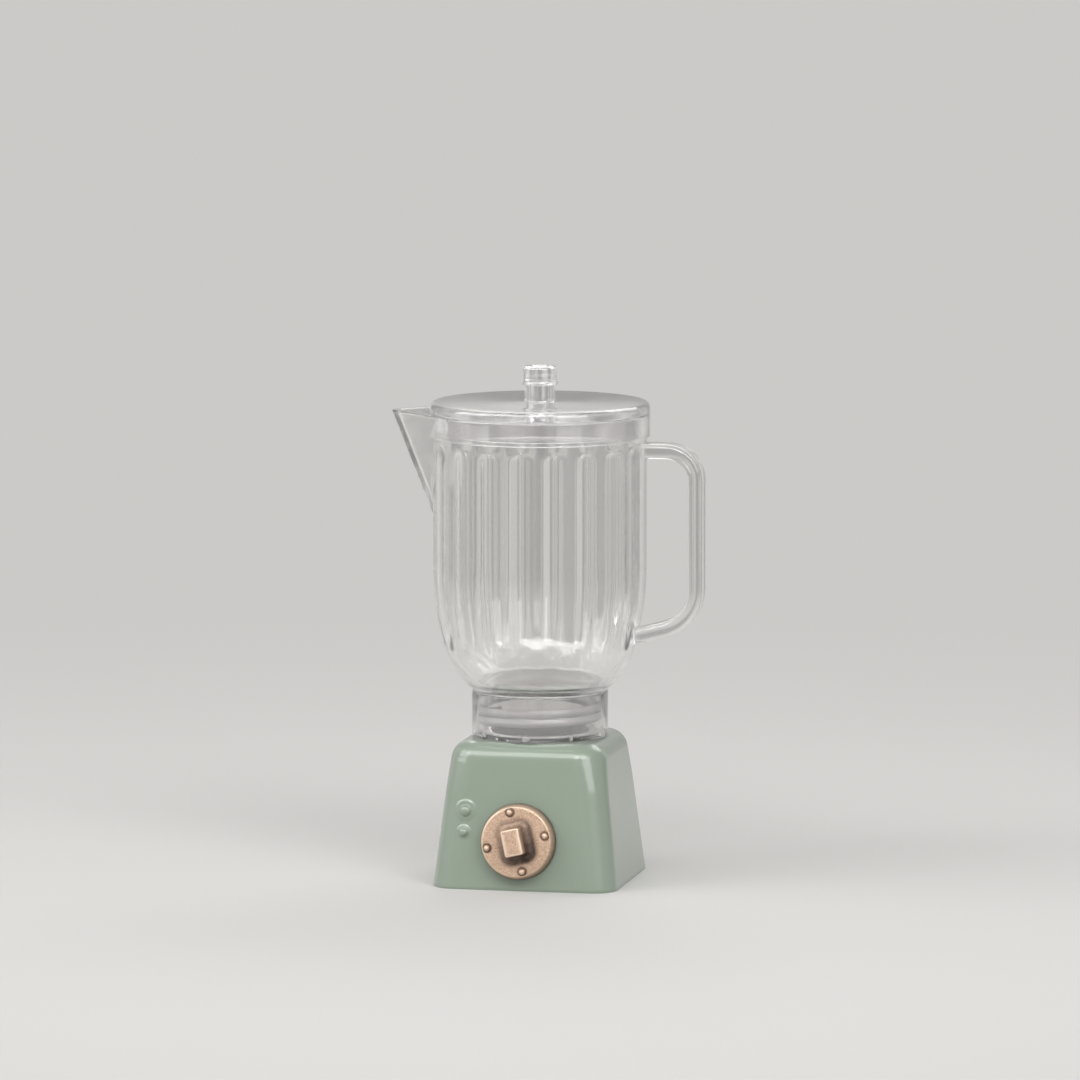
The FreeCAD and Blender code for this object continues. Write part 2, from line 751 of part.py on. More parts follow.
def build_jar():
    """Clear jar: turned body, cut flutes, added pouring lip, then hollowed from both ends."""
    body = new_body("jar")
    revolve(body, "skin", *jar_skin())
    cut_flutes(body)

    nose_bottom = RIM_TOP - size("lip_drop")
    top = lip_section(body, "lip_top", RIM_TOP, size("lip_reach"), size("rim_radius"))
    bottom = lip_root(body, "lip_bottom", nose_bottom, size("jar_radius"))
    lip = loft(body, "lip", [top, bottom])

    def nose(edge):
        box = edge.BoundBox
        return max(-box.YMin, box.YMax) < NEAR and box.XMax < NEAR - sheet.get("jar_radius") and \
            box.ZLength > sheet.get("lip_drop") / 2

    round_edges(body, lip, "nose", size("lip_tip_radius"), nose)

    revolve(body, "inside", *jar_inside(), cut=True)
    hollow = NECK_RADIUS - size("neck_wall")
    below = NECK_BOTTOM - CUT_OVERRUN
    revolve(body, "neck_hollow", [(ZERO, below), (hollow, below), (hollow, NECK_TOP),
                                  (ZERO, NECK_TOP)], cut=True)
    wall = size("lip_wall")
    wall_at_nose = wall * size("lip_reach") / size("rim_radius")
    slope = (size("lip_reach") - size("jar_radius")) / size("lip_drop")
    inner_bottom = nose_bottom + (wall_at_nose - size("jar_wall")) / slope
    inner_top = lip_section(body, "lip_inside_top", RIM_TOP + CUT_OVERRUN,
                            size("lip_reach") - wall_at_nose + CUT_OVERRUN * slope,
                            size("rim_radius") - wall)
    inner_root = lip_root(body, "lip_inside_bottom", inner_bottom, JAR_INSIDE)
    return finish(body, loft(body, "lip_inside", [inner_top, inner_root], cut=True))


def cut_flutes(body):
    """Shallow upright flutes with rounded ends, all round but for the one behind the handle.

    One flute is a straight groove down the barrel, the same groove bent along the bowl's side
    arc, and a ball at each end."""
    radius = size("flute_radius")
    stand_off = radius - size("flute_depth")
    first_turn = as_size(FULL_TURN) / size("flute_count") + size("flute_phase")
    track = size("jar_radius") + stand_off
    bottom_turn = size("flute_bottom_turn")
    bend = size("bowl_side_radius") + stand_off
    top = BARREL_TOP - size("flute_top_margin")
    low_radius = track - bend * (as_size(1) - cosine(bottom_turn))
    low_level = BARREL_BOTTOM - bend * sine(bottom_turn)
    outward = (cosine(first_turn), sine(first_turn))
    sideways = (-sine(first_turn), cosine(first_turn))

    def along(distance):
        return [distance * share for share in outward]

    section = new_sketch(body, "flute_section", "XY_Plane", BARREL_BOTTOM)
    draw_circle(section, *along(track), radius)
    straight = new_feature(body, "Pocket", "flute_straight", Profile=section, Reversed=True,
                           Length=top - BARREL_BOTTOM)

    bent_section = new_sketch(body, "flute_bent_section", "XY_Plane", BARREL_BOTTOM)
    pivot = along(track - bend)
    beside = [place + step for place, step in zip(pivot, sideways)]
    hinge = [Vector(x.number, y.number, 0) for x, y in (pivot, beside)]
    axis = bent_section.addGeometry(Part.LineSegment(*hinge), True)
    hold_point(bent_section, axis, START, pivot)
    hold_point(bent_section, axis, END, beside)
    draw_circle(bent_section, *along(track), radius)
    bent = new_feature(body, "Groove", "flute_bent", Profile=bent_section, Angle=bottom_turn,
                       ReferenceAxis=(bent_section, ["Axis0"]))

    repeat_flutes(body, "grooves", [straight, bent], section)

    balls = []
    for name, distance, level in (("crown", track, top), ("foot", low_radius, low_level)):
        ball = new_feature(body, "SubtractiveSphere", f"flute_{name}", Radius=radius)
        ball.AttachmentSupport = [(origin_plane(body, "XY_Plane"), "")]
        ball.MapMode = "FlatFace"
        for letter, value in zip("xyz", along(distance) + [level]):
            ball.setExpression(f"AttachmentOffset.Base.{letter}", value.text)
        balls.append(ball)
    repeat_flutes(body, "groove_ends", balls, section)


def repeat_flutes(body, name, cutters, section):
    """Repeat cuts round the jar at the flutes' pitch, up to the one behind the handle."""
    doc.recompute()
    pitch = as_size(FULL_TURN) / size("flute_count")
    repeated = new_feature(body, "PolarPattern", name, Originals=cutters,
                           Axis=(section, ["N_Axis"]), Angle=as_size(FULL_TURN) - pitch * 2)
    repeated.setExpression("Occurrences", "Sizes.flute_count - 1")
    body.Tip = repeated
    doc.recompute()


def build_handle():
    """Loop handle swept along a C-shaped path and trimmed to the jar's skin."""
    body = new_body("jar_handle")
    reach = size("handle_reach")
    slope = size("handle_root_slope")
    upper = size("handle_upper_bend")
    lower = size("handle_lower_bend")
    arm_level = RIM_TOP - size("handle_top_drop")
    start = size("jar_radius") - size("handle_embed")
    root_level = size("handle_root_height")
    corner_level = root_level + (reach - start) * tangent(slope)
    run = lower * tangent((as_size(QUARTER_TURN) - slope) / 2)
    low_end = (start - CUT_OVERRUN, root_level - CUT_OVERRUN * tangent(slope))
    points = [(start, arm_level), (reach - upper, arm_level), (reach, arm_level - upper),
              (reach, corner_level + run),
              (reach - run * cosine(slope), corner_level - run * sine(slope)), low_end]
    path = new_sketch(body, "path", "XZ_Plane")
    draw(path, points, {1: (upper, -1), 3: (lower, -1)}, closed=False)

    section = new_sketch(body, "section", "YZ_Plane", start)
    half_y = size("handle_width") / 2
    half_z = size("handle_thickness") / 2
    edge = size("handle_edge_radius")
    outline = []
    for sy, sz, first_flat in ((1, -1, True), (1, 1, False), (-1, 1, True), (-1, -1, False)):
        side = (half_y * sy, arm_level + (half_z - edge) * sz)
        end = ((half_y - edge) * sy, arm_level + half_z * sz)
        outline += [end, side] if first_flat else [side, end]
    draw(section, outline, {index: (edge, 1) for index in (0, 2, 4, 6)})
    new_feature(body, "AdditivePipe", "strap", Profile=section, Spine=(path, [""]))
    doc.recompute()
    return finish(body, revolve(body, "jar_side", *jar_skin(CUT_OVERRUN), cut=True))


# ---------------------------------------------------------------------------
# Lid and cap
# ---------------------------------------------------------------------------
def build_lid():
    """Flat round lid with a skirt in the jar's mouth and a short bored stem."""
    body = new_body("lid")
    flange = size("rim_radius")
    skirt = JAR_INSIDE - size("lid_clearance")
    skirt_inner = skirt - size("lid_skirt_wall")
    skirt_bottom = RIM_TOP - size("lid_skirt_depth")
    bore = size("lid_stem_bore")
    stem = size("lid_stem_radius")
    stem_top = LID_TOP + size("lid_stem_height")
    edge = size("lid_edge_radius")
    profile = [(bore, RIM_TOP), (skirt_inner, RIM_TOP), (skirt_inner, skirt_bottom),
               (skirt, skirt_bottom), (skirt, RIM_TOP), (flange, RIM_TOP), (flange, LID_TOP - edge),
               (flange - edge, LID_TOP), (stem, LID_TOP), (stem, stem_top), (bore, stem_top)]
    return finish(body, revolve(body, "solid", profile, {6: (edge, 1)}))


def build_cap():
    """Small round cap with a thin flange and a plug that sits in the lid's stem."""
    body = new_body("lid_cap")
    seat = LID_TOP + size("lid_stem_height")
    top = seat + size("cap_height")
    plug = size("lid_stem_bore") - size("cap_clearance")
    flange_top = seat + size("cap_flange_height")
    edge = size("cap_edge_radius")
    outer = size("cap_radius")
    flange = size("cap_flange_radius")
    plug_end = seat - size("cap_plug_length")
    profile = [(ZERO, plug_end), (plug, plug_end), (plug, seat), (flange, seat),
               (flange, flange_top), (outer, flange_top), (outer, top - edge),
               (outer - edge, top), (ZERO, top)]
    return finish(body, revolve(body, "solid", profile, {6: (edge, 1)}))


# ---------------------------------------------------------------------------
# Build, check and write
# ---------------------------------------------------------------------------
SUBPARTS = [
    build_housing(), build_base_plate(), build_base_plate_screws(), build_dial(),
    build_dial_spring(), build_dial_washer(), build_dial_screw(), build_collar(), build_jar(),
    build_handle(), build_lid(), build_cap(),
]
doc.recompute()

for item in doc.Objects:
    if "Invalid" in item.State or "Error" in item.State:
        raise RuntimeError(f"{item.Label} failed: {item.State}")

os.makedirs("parts", exist_ok=True)
for subpart in SUBPARTS:
    shape = subpart.Shape
    if shape.isNull() or not shape.isValid():
        raise RuntimeError(f"{subpart.Label} has no valid shape")
    if subpart.TypeId == "PartDesign::Body" and len(shape.Solids) != 1:
        raise RuntimeError(f"{subpart.Label} came out as {len(shape.Solids)} solids")
    shape.exportStep(f"parts/{subpart.Label}.step")
    print(f"{subpart.Label}: {len(shape.Solids)} solid(s), {shape.Volume:.1f} mm3")
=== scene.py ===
import json
import math

import bpy
import numpy as np
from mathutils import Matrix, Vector


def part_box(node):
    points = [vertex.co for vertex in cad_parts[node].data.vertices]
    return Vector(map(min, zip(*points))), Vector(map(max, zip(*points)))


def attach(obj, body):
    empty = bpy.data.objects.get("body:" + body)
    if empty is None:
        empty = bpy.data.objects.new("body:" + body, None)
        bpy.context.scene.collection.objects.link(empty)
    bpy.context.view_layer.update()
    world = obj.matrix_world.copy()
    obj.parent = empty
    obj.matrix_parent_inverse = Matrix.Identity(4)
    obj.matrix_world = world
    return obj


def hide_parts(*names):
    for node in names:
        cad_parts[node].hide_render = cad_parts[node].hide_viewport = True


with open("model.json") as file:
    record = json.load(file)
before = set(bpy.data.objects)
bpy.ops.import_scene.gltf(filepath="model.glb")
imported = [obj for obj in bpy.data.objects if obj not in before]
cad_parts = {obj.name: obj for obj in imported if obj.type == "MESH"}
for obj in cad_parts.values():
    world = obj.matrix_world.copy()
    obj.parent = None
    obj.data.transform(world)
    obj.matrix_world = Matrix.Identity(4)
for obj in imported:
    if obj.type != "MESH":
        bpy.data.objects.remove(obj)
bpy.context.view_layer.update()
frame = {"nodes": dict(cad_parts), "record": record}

# Toy countertop blender, about 75 mm tall. Shapes below are worked out in millimetres and put into
# the meshes in metres. The jar's axis is Z, the dial faces -Y, the pouring lip points to -X and the
# handle to +X.
MM = 0.001
FULL_TURN = 360.0
TINY = 0.01


# ---- Sizes read from the frame, then the sizes that only the looks need ----
def frame_box(node):
    """Lowest and highest corner of a CAD node, in millimetres."""
    low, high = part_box(node)
    return np.array(low) / MM, np.array(high) / MM


housing_high = frame_box("housing")[1]
collar_low, collar_high = frame_box("neck_collar")
jar_low, jar_high = frame_box("jar")
handle_high = frame_box("jar_handle")[1]
lid_low, lid_high = frame_box("lid")
cap_low, cap_high = frame_box("lid_cap")

# keeps the widest pieces inside the frame's box
BOX_SPARE = 0.002
# gap between faces that rest on each other
SEAT_GAP = 0.01

BASE_TOP = housing_high[2]
COLLAR_TOP = collar_high[2]
COLLAR_RADIUS = collar_high[0]
COLLAR_WALL = 0.5
COLLAR_BORE = COLLAR_RADIUS - COLLAR_WALL
SPIGOT_BOTTOM = collar_low[2]
SPIGOT_RADIUS = 9.15
SPIGOT_BORE = 8.55

NECK_CLEARANCE = 0.3
NECK_WALL = 0.9
NECK_BOTTOM = jar_low[2]
NECK_RADIUS = COLLAR_BORE - NECK_CLEARANCE
NECK_BORE = NECK_RADIUS - NECK_WALL
NECK_TOP = COLLAR_TOP + NECK_CLEARANCE
FLOOR_THICKNESS = 1.2
FLOOR_TOP = NECK_TOP + FLOOR_THICKNESS

JAR_RADIUS = 15.55
JAR_WALL = 1.1
JAR_INSIDE = JAR_RADIUS - JAR_WALL
RIM_RADIUS = jar_high[1] - BOX_SPARE
RIM_TOP = jar_high[2]
RIM_HEIGHT = 3.4
RIM_EDGE = 0.25
INNER_EDGE = 0.2
BAND_BOTTOM = RIM_TOP - RIM_HEIGHT
BARREL_HEIGHT = 19.1
BARREL_BOTTOM = BAND_BOTTOM - BARREL_HEIGHT
SIDE_ARC = 42.0
SIDE_ARC_TURN = 16.6
# start, end and count of the barrel's rows of points, close together where the lip and the flutes'
# round ends are
BARREL_ROWS = ((BARREL_BOTTOM + 0.8, 50.6, 6), (51.0, 60.9, 25), (61.2, BAND_BOTTOM - 0.3, 18))
INSIDE_ROWS = ((RIM_TOP - 0.6, 52.0, 28), (51.0, BARREL_BOTTOM + 1, 4))

FLUTE_PITCH = 18.0
FLUTE_PHASE = 1.5
FLUTE_RADIUS = 2.6
FLUTE_DEPTH = 0.36
FLUTE_TOP_MARGIN = 2.4
FLUTE_END_TURN = 12.7
FLUTE_LOWER_STRETCH = 0.52
FLUTE_EDGE = 0.18

LIP_REACH = 22.5
LIP_DROP = 17.2
LIP_WALL = 1.15
LIP_NOSE = 1.0
LIP_INNER_NOSE = 0.45
LIP_BLEND = 0.3
# half the angle round the lip's nose where the jar's columns are close together
NOSE_HALF_TURN = 8.0

THREAD_PITCH = 1.35
THREAD_HEIGHT = 0.33
THREAD_WIDTH = 1.22
THREAD_LEVEL = 22.82
THREAD_TURNS = (0.4, 2.4)
THREAD_TAPER = 0.12
THREAD_ROUNDING = 0.04
THREAD_GAP = 0.02

HANDLE_WIDTH = 4.0
HANDLE_THICKNESS = 2.2
HANDLE_EDGE = 0.8
HANDLE_REACH = handle_high[0] - HANDLE_THICKNESS / 2
HANDLE_DROP = 5.2
HANDLE_ROOT = 36.1
HANDLE_SLOPE = 15.0
HANDLE_UPPER_BEND = 4.2
HANDLE_LOWER_BEND = 6.0
HANDLE_GLUE_GAP = 0.03

LID_RADIUS = min(lid_high[:2]) - BOX_SPARE
LID_THICKNESS = 1.6
LID_TOP = RIM_TOP + LID_THICKNESS
SKIRT_BOTTOM = lid_low[2]
SKIRT_CLEARANCE = 0.25
SKIRT_WALL = 0.9
SKIRT_RADIUS = JAR_INSIDE - SKIRT_CLEARANCE
SKIRT_BORE = SKIRT_RADIUS - SKIRT_WALL
STEM_RADIUS = 2.2
STEM_BORE = 1.35
STEM_TOP = lid_high[2]

CAP_RADIUS = 2.42
CAP_FLANGE = cap_high[0]
CAP_FLANGE_TOP = STEM_TOP + 0.35
CAP_TOP = cap_high[2]
CAP_DISH = CAP_TOP - 0.15
CAP_PLUG = 1.25
CAP_BOTTOM = cap_low[2]


# ---- Curves ----
def smooth(value):
    """Cubic step from 0 to 1."""
    value = np.clip(value, 0, 1)
    return value * value * (3 - 2 * value)


def hill(value, middle, width):
    """Bell curve of height 1."""
    return np.exp(-((value - middle) / width) ** 2)


def larger_of(first, second, blend):
    """The larger of two surfaces, with a soft hollow of about `blend` where they meet: half of
    their sum plus the root of their difference squared and `blend` squared."""
    return (first + second + np.sqrt((first - second) ** 2 + blend ** 2)) / 2


def steps_between(start, end, count):
    """`count` points that divide the way from start to end evenly, both ends included."""
    share = np.linspace(0.0, 1.0, count)[:, None]
    return np.array(start, float) * (1 - share) + np.array(end, float) * share


def straight_up(radius, *runs):
    """Outline at one radius, through runs of heights given as (start, end, count)."""
    return np.concatenate([steps_between((radius, start), (radius, end), count)
                           for start, end, count in runs])


def arc(centre, radius, start, end, count):
    """`count` points round a centre, from one angle to another in degrees."""
    angles = np.radians(np.linspace(start, end, count))
    return np.stack([centre[0] + radius * np.cos(angles),
                     centre[1] + radius * np.sin(angles)], axis=1)


def rounded(corners, count=6):
    """Outline through (x, y, rounding) corners. A rounding of r turns its corner into an arc of
    that radius: it starts r / tan(half the corner's angle) before the corner, and its centre lies
    on the corner's bisector."""
    points = [np.array(corner[:2], float) for corner in corners]
    outline = [points[0][None]]
    for before, corner, after, (_, _, radius) in zip(points, points[1:], points[2:], corners[1:]):
        if radius <= 0:
            outline.append(corner[None])
            continue
        back = (before - corner) / np.linalg.norm(before - corner)
        ahead = (after - corner) / np.linalg.norm(after - corner)
        half = math.acos(np.clip(back @ ahead, -1, 1)) / 2
        bisector = (back + ahead) / np.linalg.norm(back + ahead)
        centre = corner + bisector * radius / math.sin(half)
        first = corner + back * radius / math.tan(half) - centre
        last = corner + ahead * radius / math.tan(half) - centre
        turn = math.atan2(first[0] * last[1] - first[1] * last[0], first @ last)
        start = math.degrees(math.atan2(first[1], first[0]))
        outline.append(arc(centre, radius, start, start + math.degrees(turn), count))
    outline.append(points[-1][None])
    return np.concatenate(outline)


def rounded_rectangle(half_width, half_height, corner, offset, per_corner):
    """Rectangle with round corners, moved outward by `offset`, anticlockwise."""
    corners = []
    for x, y, start in ((1, -1, -90), (1, 1, 0), (-1, 1, 90), (-1, -1, 180)):
        centre = (x * (half_width - corner), y * (half_height - corner))
        corners.append(arc(centre, corner + offset, start, start + 90, per_corner))
    return np.concatenate(corners)


def normals_of(outline):
    """Unit normals to the right of an outline's direction."""
    along = np.gradient(outline, axis=0)
    along /= np.linalg.norm(along, axis=1)[:, None]
    return np.stack([along[:, 1], -along[:, 0]], axis=1)


# ---- Grids of points, their faces and the pieces made of them ----
def around_axis(radius, height, angles):
    """Points at the given radii and heights, at angles in radians round the Z axis."""
    radius, height = radius + 0 * angles, height + 0 * angles
    return np.stack([radius * np.cos(angles), radius * np.sin(angles), height], axis=-1)


def turned(outline, columns):
    """Surface of revolution: every outline point (radius, height) goes round the Z axis."""
    angles = np.radians(np.arange(columns) * FULL_TURN / columns)
    return around_axis(outline[:, :1], outline[:, 1:], angles)


def numbered_rows(grid, first_number=0):
    """Vertex numbers of a grid of points, one ring per row."""
    count = grid.shape[0] * grid.shape[1]
    return np.arange(first_number, first_number + count).reshape(grid.shape[:2])


def ring_of_faces(first, second):
    """Quads between two rings of vertex numbers with as many vertices each."""
    return np.stack([first, np.roll(first, -1), np.roll(second, -1), second], axis=1)


def strip(rows, wrap=False):
    """Quads between neighbouring rings, and from the last ring to the first if wrap is set."""
    pairs = list(zip(rows, rows[1:]))
    if wrap:
        pairs.append((rows[-1], rows[0]))
    return [ring_of_faces(first, second) for first, second in pairs]


def widening(coarse, fine):
    """Faces from a ring to the next one, which has two vertices for each of its own."""
    middle = fine[1::2]
    after = np.roll(fine[::2], -1)
    return [np.stack([coarse, middle, fine[::2]], axis=1),
            np.stack([coarse, np.roll(coarse, -1), after, middle], axis=1)]


def narrowing(fine, coarse):
    """Faces from a ring to the next one, which has one vertex for each two of its own."""
    return [block[:, ::-1] for block in widening(coarse, fine)]


def pole(ring, number, opens_below):
    """Triangles from one centre vertex to a ring."""
    centre = np.full(len(ring), number)
    after = np.roll(ring, -1)
    order = [centre, after, ring] if opens_below else [centre, ring, after]
    return np.stack(order, axis=1)


def closed_on_axis(grid):
    """Points and faces of a grid whose first and last rows lie on the axis: each becomes one
    vertex with a fan of triangles."""
    inner = grid[1:-1]
    points = np.concatenate([inner.reshape(-1, 3), grid[0, :1], grid[-1, :1]])
    rows = numbered_rows(inner)
    poles = [pole(rows[0], len(points) - 2, True), pole(rows[-1], len(points) - 1, False)]
    return points, strip(rows) + poles


def closed_ring(grid):
    """Points and faces of a grid whose last row joins its first one, as in a tube's section."""
    return grid.reshape(-1, 3), strip(numbered_rows(grid), wrap=True)


def joined(shells):
    """Points and faces of several shells as one."""
    points, faces, count = [], [], 0
    for shell, shell_faces in shells:
        points.append(shell)
        faces += [block + count for block in shell_faces]
        count += len(shell)
    return np.concatenate(points), faces


def placed(name, data):
    """New object of a mesh, lamp or camera, in the scene."""
    thing = bpy.data.objects.new(name, data)
    bpy.context.scene.collection.objects.link(thing)
    return thing


def make_piece(name, shell, body, finish, sharp=None, masks=None):
    """Mesh from points in millimetres and arrays of triangles and quads, with its material.
    masks gives one number per point for each named attribute."""
    points, faces = shell
    mesh = bpy.data.meshes.new(name)
    loops = np.concatenate([block.ravel() for block in faces]).astype(np.int32)
    sizes = np.concatenate([np.full(len(block), block.shape[1]) for block in faces])
    mesh.vertices.add(len(points))
    mesh.vertices.foreach_set("co", (points * MM).astype(np.float32).ravel())
    mesh.loops.add(len(loops))
    mesh.loops.foreach_set("vertex_index", loops)
    mesh.polygons.add(len(sizes))
    starts = np.concatenate([[0], np.cumsum(sizes)[:-1]]).astype(np.int32)
    mesh.polygons.foreach_set("loop_start", starts)
    mesh.update(calc_edges=True)
    for label, values in (masks or {}).items():
        mesh.attributes.new(label, "FLOAT", "POINT").data.foreach_set("value", values)
    mesh.validate()
    mesh.shade_smooth()
    if sharp is not None:
        mesh.set_sharp_from_angle(angle=math.radians(sharp))
    mesh.materials.append(finish)
    piece = placed(name, mesh)
    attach(piece, body)
    return piece


# ---- Node helpers ----
def new_node(tree, kind, inputs=None, **settings):
    """Node with its settings, and its inputs set to a value or linked from a socket."""
    node = tree.nodes.new(kind)
    for key, value in settings.items():
        setattr(node, key, value)
    for key, value in (inputs or {}).items():
        if isinstance(value, bpy.types.NodeSocket):
            tree.links.new(value, node.inputs[key])
        else:
            node.inputs[key].default_value = value
    return node


def feed(tree, node, **sockets):
    """Links sockets to a node's inputs, named with _ for a space."""
    for key, socket in sockets.items():
        tree.links.new(socket, node.inputs[key.replace("_", " ")])


def mixed(tree, factor, first, second, kind="RGBA"):
    """From the first colour to the second one, or between numbers if kind is FLOAT."""
    return new_node(tree, "ShaderNodeMix", {"Factor": factor, "A": first, "B": second},
                    data_type=kind).outputs["Result"]


def worked_out(tree, operation, first, second, **settings):
    """Output of a Math node."""
    return new_node(tree, "ShaderNodeMath", {0: first, 1: second}, operation=operation,
                    **settings).outputs[0]


def spread(tree, mask, low, high):
    """Maps a 0 to 1 mask to the range low to high."""
    return new_node(tree, "ShaderNodeMapRange",
                    {"Value": mask, "To Min": low, "To Max": high}).outputs["Result"]


def noise(tree, place, scale, detail, roughness):
    """Noise from 0 to 1 over a place."""
    return new_node(tree, "ShaderNodeTexNoise",
                    {"Vector": place, "Scale": scale, "Detail": detail,
                     "Roughness": roughness}).outputs["Fac"]


def cell_pattern(tree, place, scale):
    """Outputs of a Voronoi pattern: a random colour and a distance in each cell."""
    return new_node(tree, "ShaderNodeTexVoronoi", {"Vector": place, "Scale": scale}).outputs


def bump(tree, height, distance, strength):
    """Normal of a surface with the given height pattern."""
    return new_node(tree, "ShaderNodeBump", {"Height": height, "Distance": distance,
                                             "Strength": strength}).outputs["Normal"]


def mask_of(tree, name):
    """Number that the mesh holds at each point under that name."""
    return new_node(tree, "ShaderNodeAttribute", attribute_name=name).outputs["Fac"]


def place_on(tree, coordinates="Object"):
    """Place on the piece that the material is on."""
    return new_node(tree, "ShaderNodeTexCoord").outputs[coordinates]


def new_group(name, numbers, results):
    """Shader node group that takes a "Vector" and the given numbers, and puts out the named
    results. Comes with its input sockets and its output node."""
    group = bpy.data.node_groups.new(name, "ShaderNodeTree")
    group.interface.new_socket("Vector", in_out="INPUT", socket_type="NodeSocketVector")
    for label, value in numbers.items():
        socket = group.interface.new_socket(label, in_out="INPUT", socket_type="NodeSocketFloat")
        socket.default_value = value
    for label in results:
        group.interface.new_socket(label, in_out="OUTPUT", socket_type="NodeSocketFloat")
    return group, group.nodes.new("NodeGroupInput").outputs, group.nodes.new("NodeGroupOutput")


def use_group(tree, group, place, **numbers):
    """Outputs of a node group at a place, with its numbers named with _ for a space."""
    inputs = {key.replace("_", " "): value for key, value in numbers.items()}
    return new_node(tree, "ShaderNodeGroup", {"Vector": place, **inputs}, node_tree=group).outputs


# ---- Node groups that several finishes share ----
def moulding_group():
    """Slight waviness and fine haze of moulded plastic: a height for bump and a 0 to 1 mask."""
    group, inputs, results = new_group(
        "moulded_surface", {"Wave Scale": 120.0, "Grain Scale": 2500.0}, ["Height", "Haze"])
    wave = noise(group, inputs["Vector"], inputs["Wave Scale"], 2.0, 0.45)
    grain = noise(group, inputs["Vector"], inputs["Grain Scale"], 3.0, 0.6)
    feed(group, results, Height=mixed(group, 0.12, wave, grain, "FLOAT"), Haze=wave)
    return group


def dust_group():
    """Rare fine specks: the middle of a few of the cells of a Voronoi pattern."""
    group, inputs, results = new_group(
        "dust_specks", {"Scale": 420.0, "Amount": 0.12, "Size": 0.055}, ["Mask"])
    cells = cell_pattern(group, inputs["Vector"], inputs["Scale"])
    chosen = worked_out(group, "LESS_THAN", cells["Color"], inputs["Amount"])
    inside = worked_out(group, "LESS_THAN", cells["Distance"], inputs["Size"])
    feed(group, results, Mask=worked_out(group, "MULTIPLY", chosen, inside))
    return group


def flake_group():
    """Metal flakes of different brightness, one random value per small Voronoi cell, and soft
    patches."""
    group, inputs, results = new_group(
        "metal_flakes", {"Scale": 6000.0, "Patch Scale": 900.0}, ["Flake", "Patch"])
    cells = cell_pattern(group, inputs["Vector"], inputs["Scale"])
    feed(group, results, Flake=cells["Color"],
         Patch=noise(group, inputs["Vector"], inputs["Patch Scale"], 4.0, 0.6))
    return group


def room_group():
    """Soft panels of a studio as gloss and clear plastic see them: wide upright patches of noise
    on the direction from the middle, mapped to a factor near 1."""
    group, inputs, results = new_group("soft_room", {}, ["Factor"])
    aim = new_node(group, "ShaderNodeVectorMath", {0: inputs["Vector"]}, operation="NORMALIZE")
    upright = new_node(group, "ShaderNodeVectorMath",
                       {0: aim.outputs["Vector"], 1: (1.0, 1.0, 0.3)}, operation="MULTIPLY")
    panels = noise(group, upright.outputs["Vector"], 3.4, 1.0, 0.5)
    factor = new_node(group, "ShaderNodeMapRange",
                      {"Value": panels, "From Min": 0.36, "From Max": 0.62, "To Min": 0.55,
                       "To Max": 1.12}, interpolation_type="SMOOTHSTEP")
    feed(group, results, Factor=factor.outputs["Result"])
    return group


MOULDING = moulding_group()
DUST = dust_group()
FLAKES = flake_group()
ROOM = room_group()


# ---- Finishes ----
def new_material(name, **values):
    """Material whose Principled shader has the given plain values, named with _ for a space."""
    material = bpy.data.materials.new(name)
    material.use_nodes = True
    shader = material.node_tree.nodes["Principled BSDF"]
    for key, value in values.items():
        shader.inputs[key.replace("_", " ")].default_value = value
    return material, material.node_tree, shader


def clear_plastic(name, tint, low_haze, high_haze, clearness=0.97):
    """Clear moulded plastic: tinted transmission, with haze and waviness that vary a little."""
    material, tree, shader = new_material(name, Base_Color=(*tint, 1.0), IOR=1.5,
                                          Transmission_Weight=clearness,
                                          Coat_Weight=1.0, Coat_Roughness=0.04)
    moulding = use_group(tree, MOULDING, place_on(tree), Wave_Scale=160.0, Grain_Scale=1800.0)
    feed(tree, shader, Roughness=spread(tree, moulding["Haze"], low_haze, high_haze),
         Normal=bump(tree, moulding["Height"], 0.0001, 0.12))
    return material


def gloss_paint(name, light, dark, roughness, specks=0.0):
    """Sprayed gloss paint: two close shades in soft patches, specks and a faint orange peel."""
    material, tree, shader = new_material(name, Coat_Weight=1.0, Coat_Roughness=0.08)
    place = place_on(tree)
    moulding = use_group(tree, MOULDING, place, Wave_Scale=90.0, Grain_Scale=3200.0)
    shade = mixed(tree, moulding["Haze"], (*dark, 1.0), (*light, 1.0))
    dusty = mixed(tree, use_group(tree, DUST, place, Amount=specks)["Mask"], shade,
                  (*[0.35 * part for part in dark], 1.0))
    feed(tree, shader, Base_Color=dusty,
         Roughness=spread(tree, moulding["Haze"], roughness - 0.04, roughness + 0.04),
         Normal=bump(tree, moulding["Height"], 0.00008, 0.16))
    return material


def antique_copper():
    """Copper spray paint with flakes, a dark patina wash with painted shade in its hollows and on
    its shaded side, and bright edges of rubbed wear with a painted highlight. The mesh's
    patina_and_shade and wear_and_highlight attributes say where."""
    material, tree, shader = new_material("copper_paint", Coat_Weight=0.1, Coat_Roughness=0.3)
    flakes = use_group(tree, FLAKES, place_on(tree))
    metal = mixed(tree, flakes["Flake"], (0.46, 0.3, 0.2, 1.0), (0.75, 0.55, 0.415, 1.0))
    # rubbed wear and painted highlight: the lighter copper colour where that mask is set
    bright = mixed(tree, mask_of(tree, "wear_and_highlight"), metal, (0.8, 0.63, 0.49, 1.0))
    # patina and painted shade: the near-black brown where that mask is set
    washed_and_shaded = worked_out(tree, "MULTIPLY", mask_of(tree, "patina_and_shade"),
                        spread(tree, flakes["Patch"], 0.7, 1.25), use_clamp=True)
    feed(tree, shader, Base_Color=mixed(tree, washed_and_shaded, bright, (0.028, 0.012, 0.006, 1.0)),
         Metallic=spread(tree, washed_and_shaded, 0.6, 0.15),
         Roughness=spread(tree, flakes["Flake"], 0.36, 0.56),
         Normal=bump(tree, flakes["Flake"], 0.00003, 0.5))
    return material


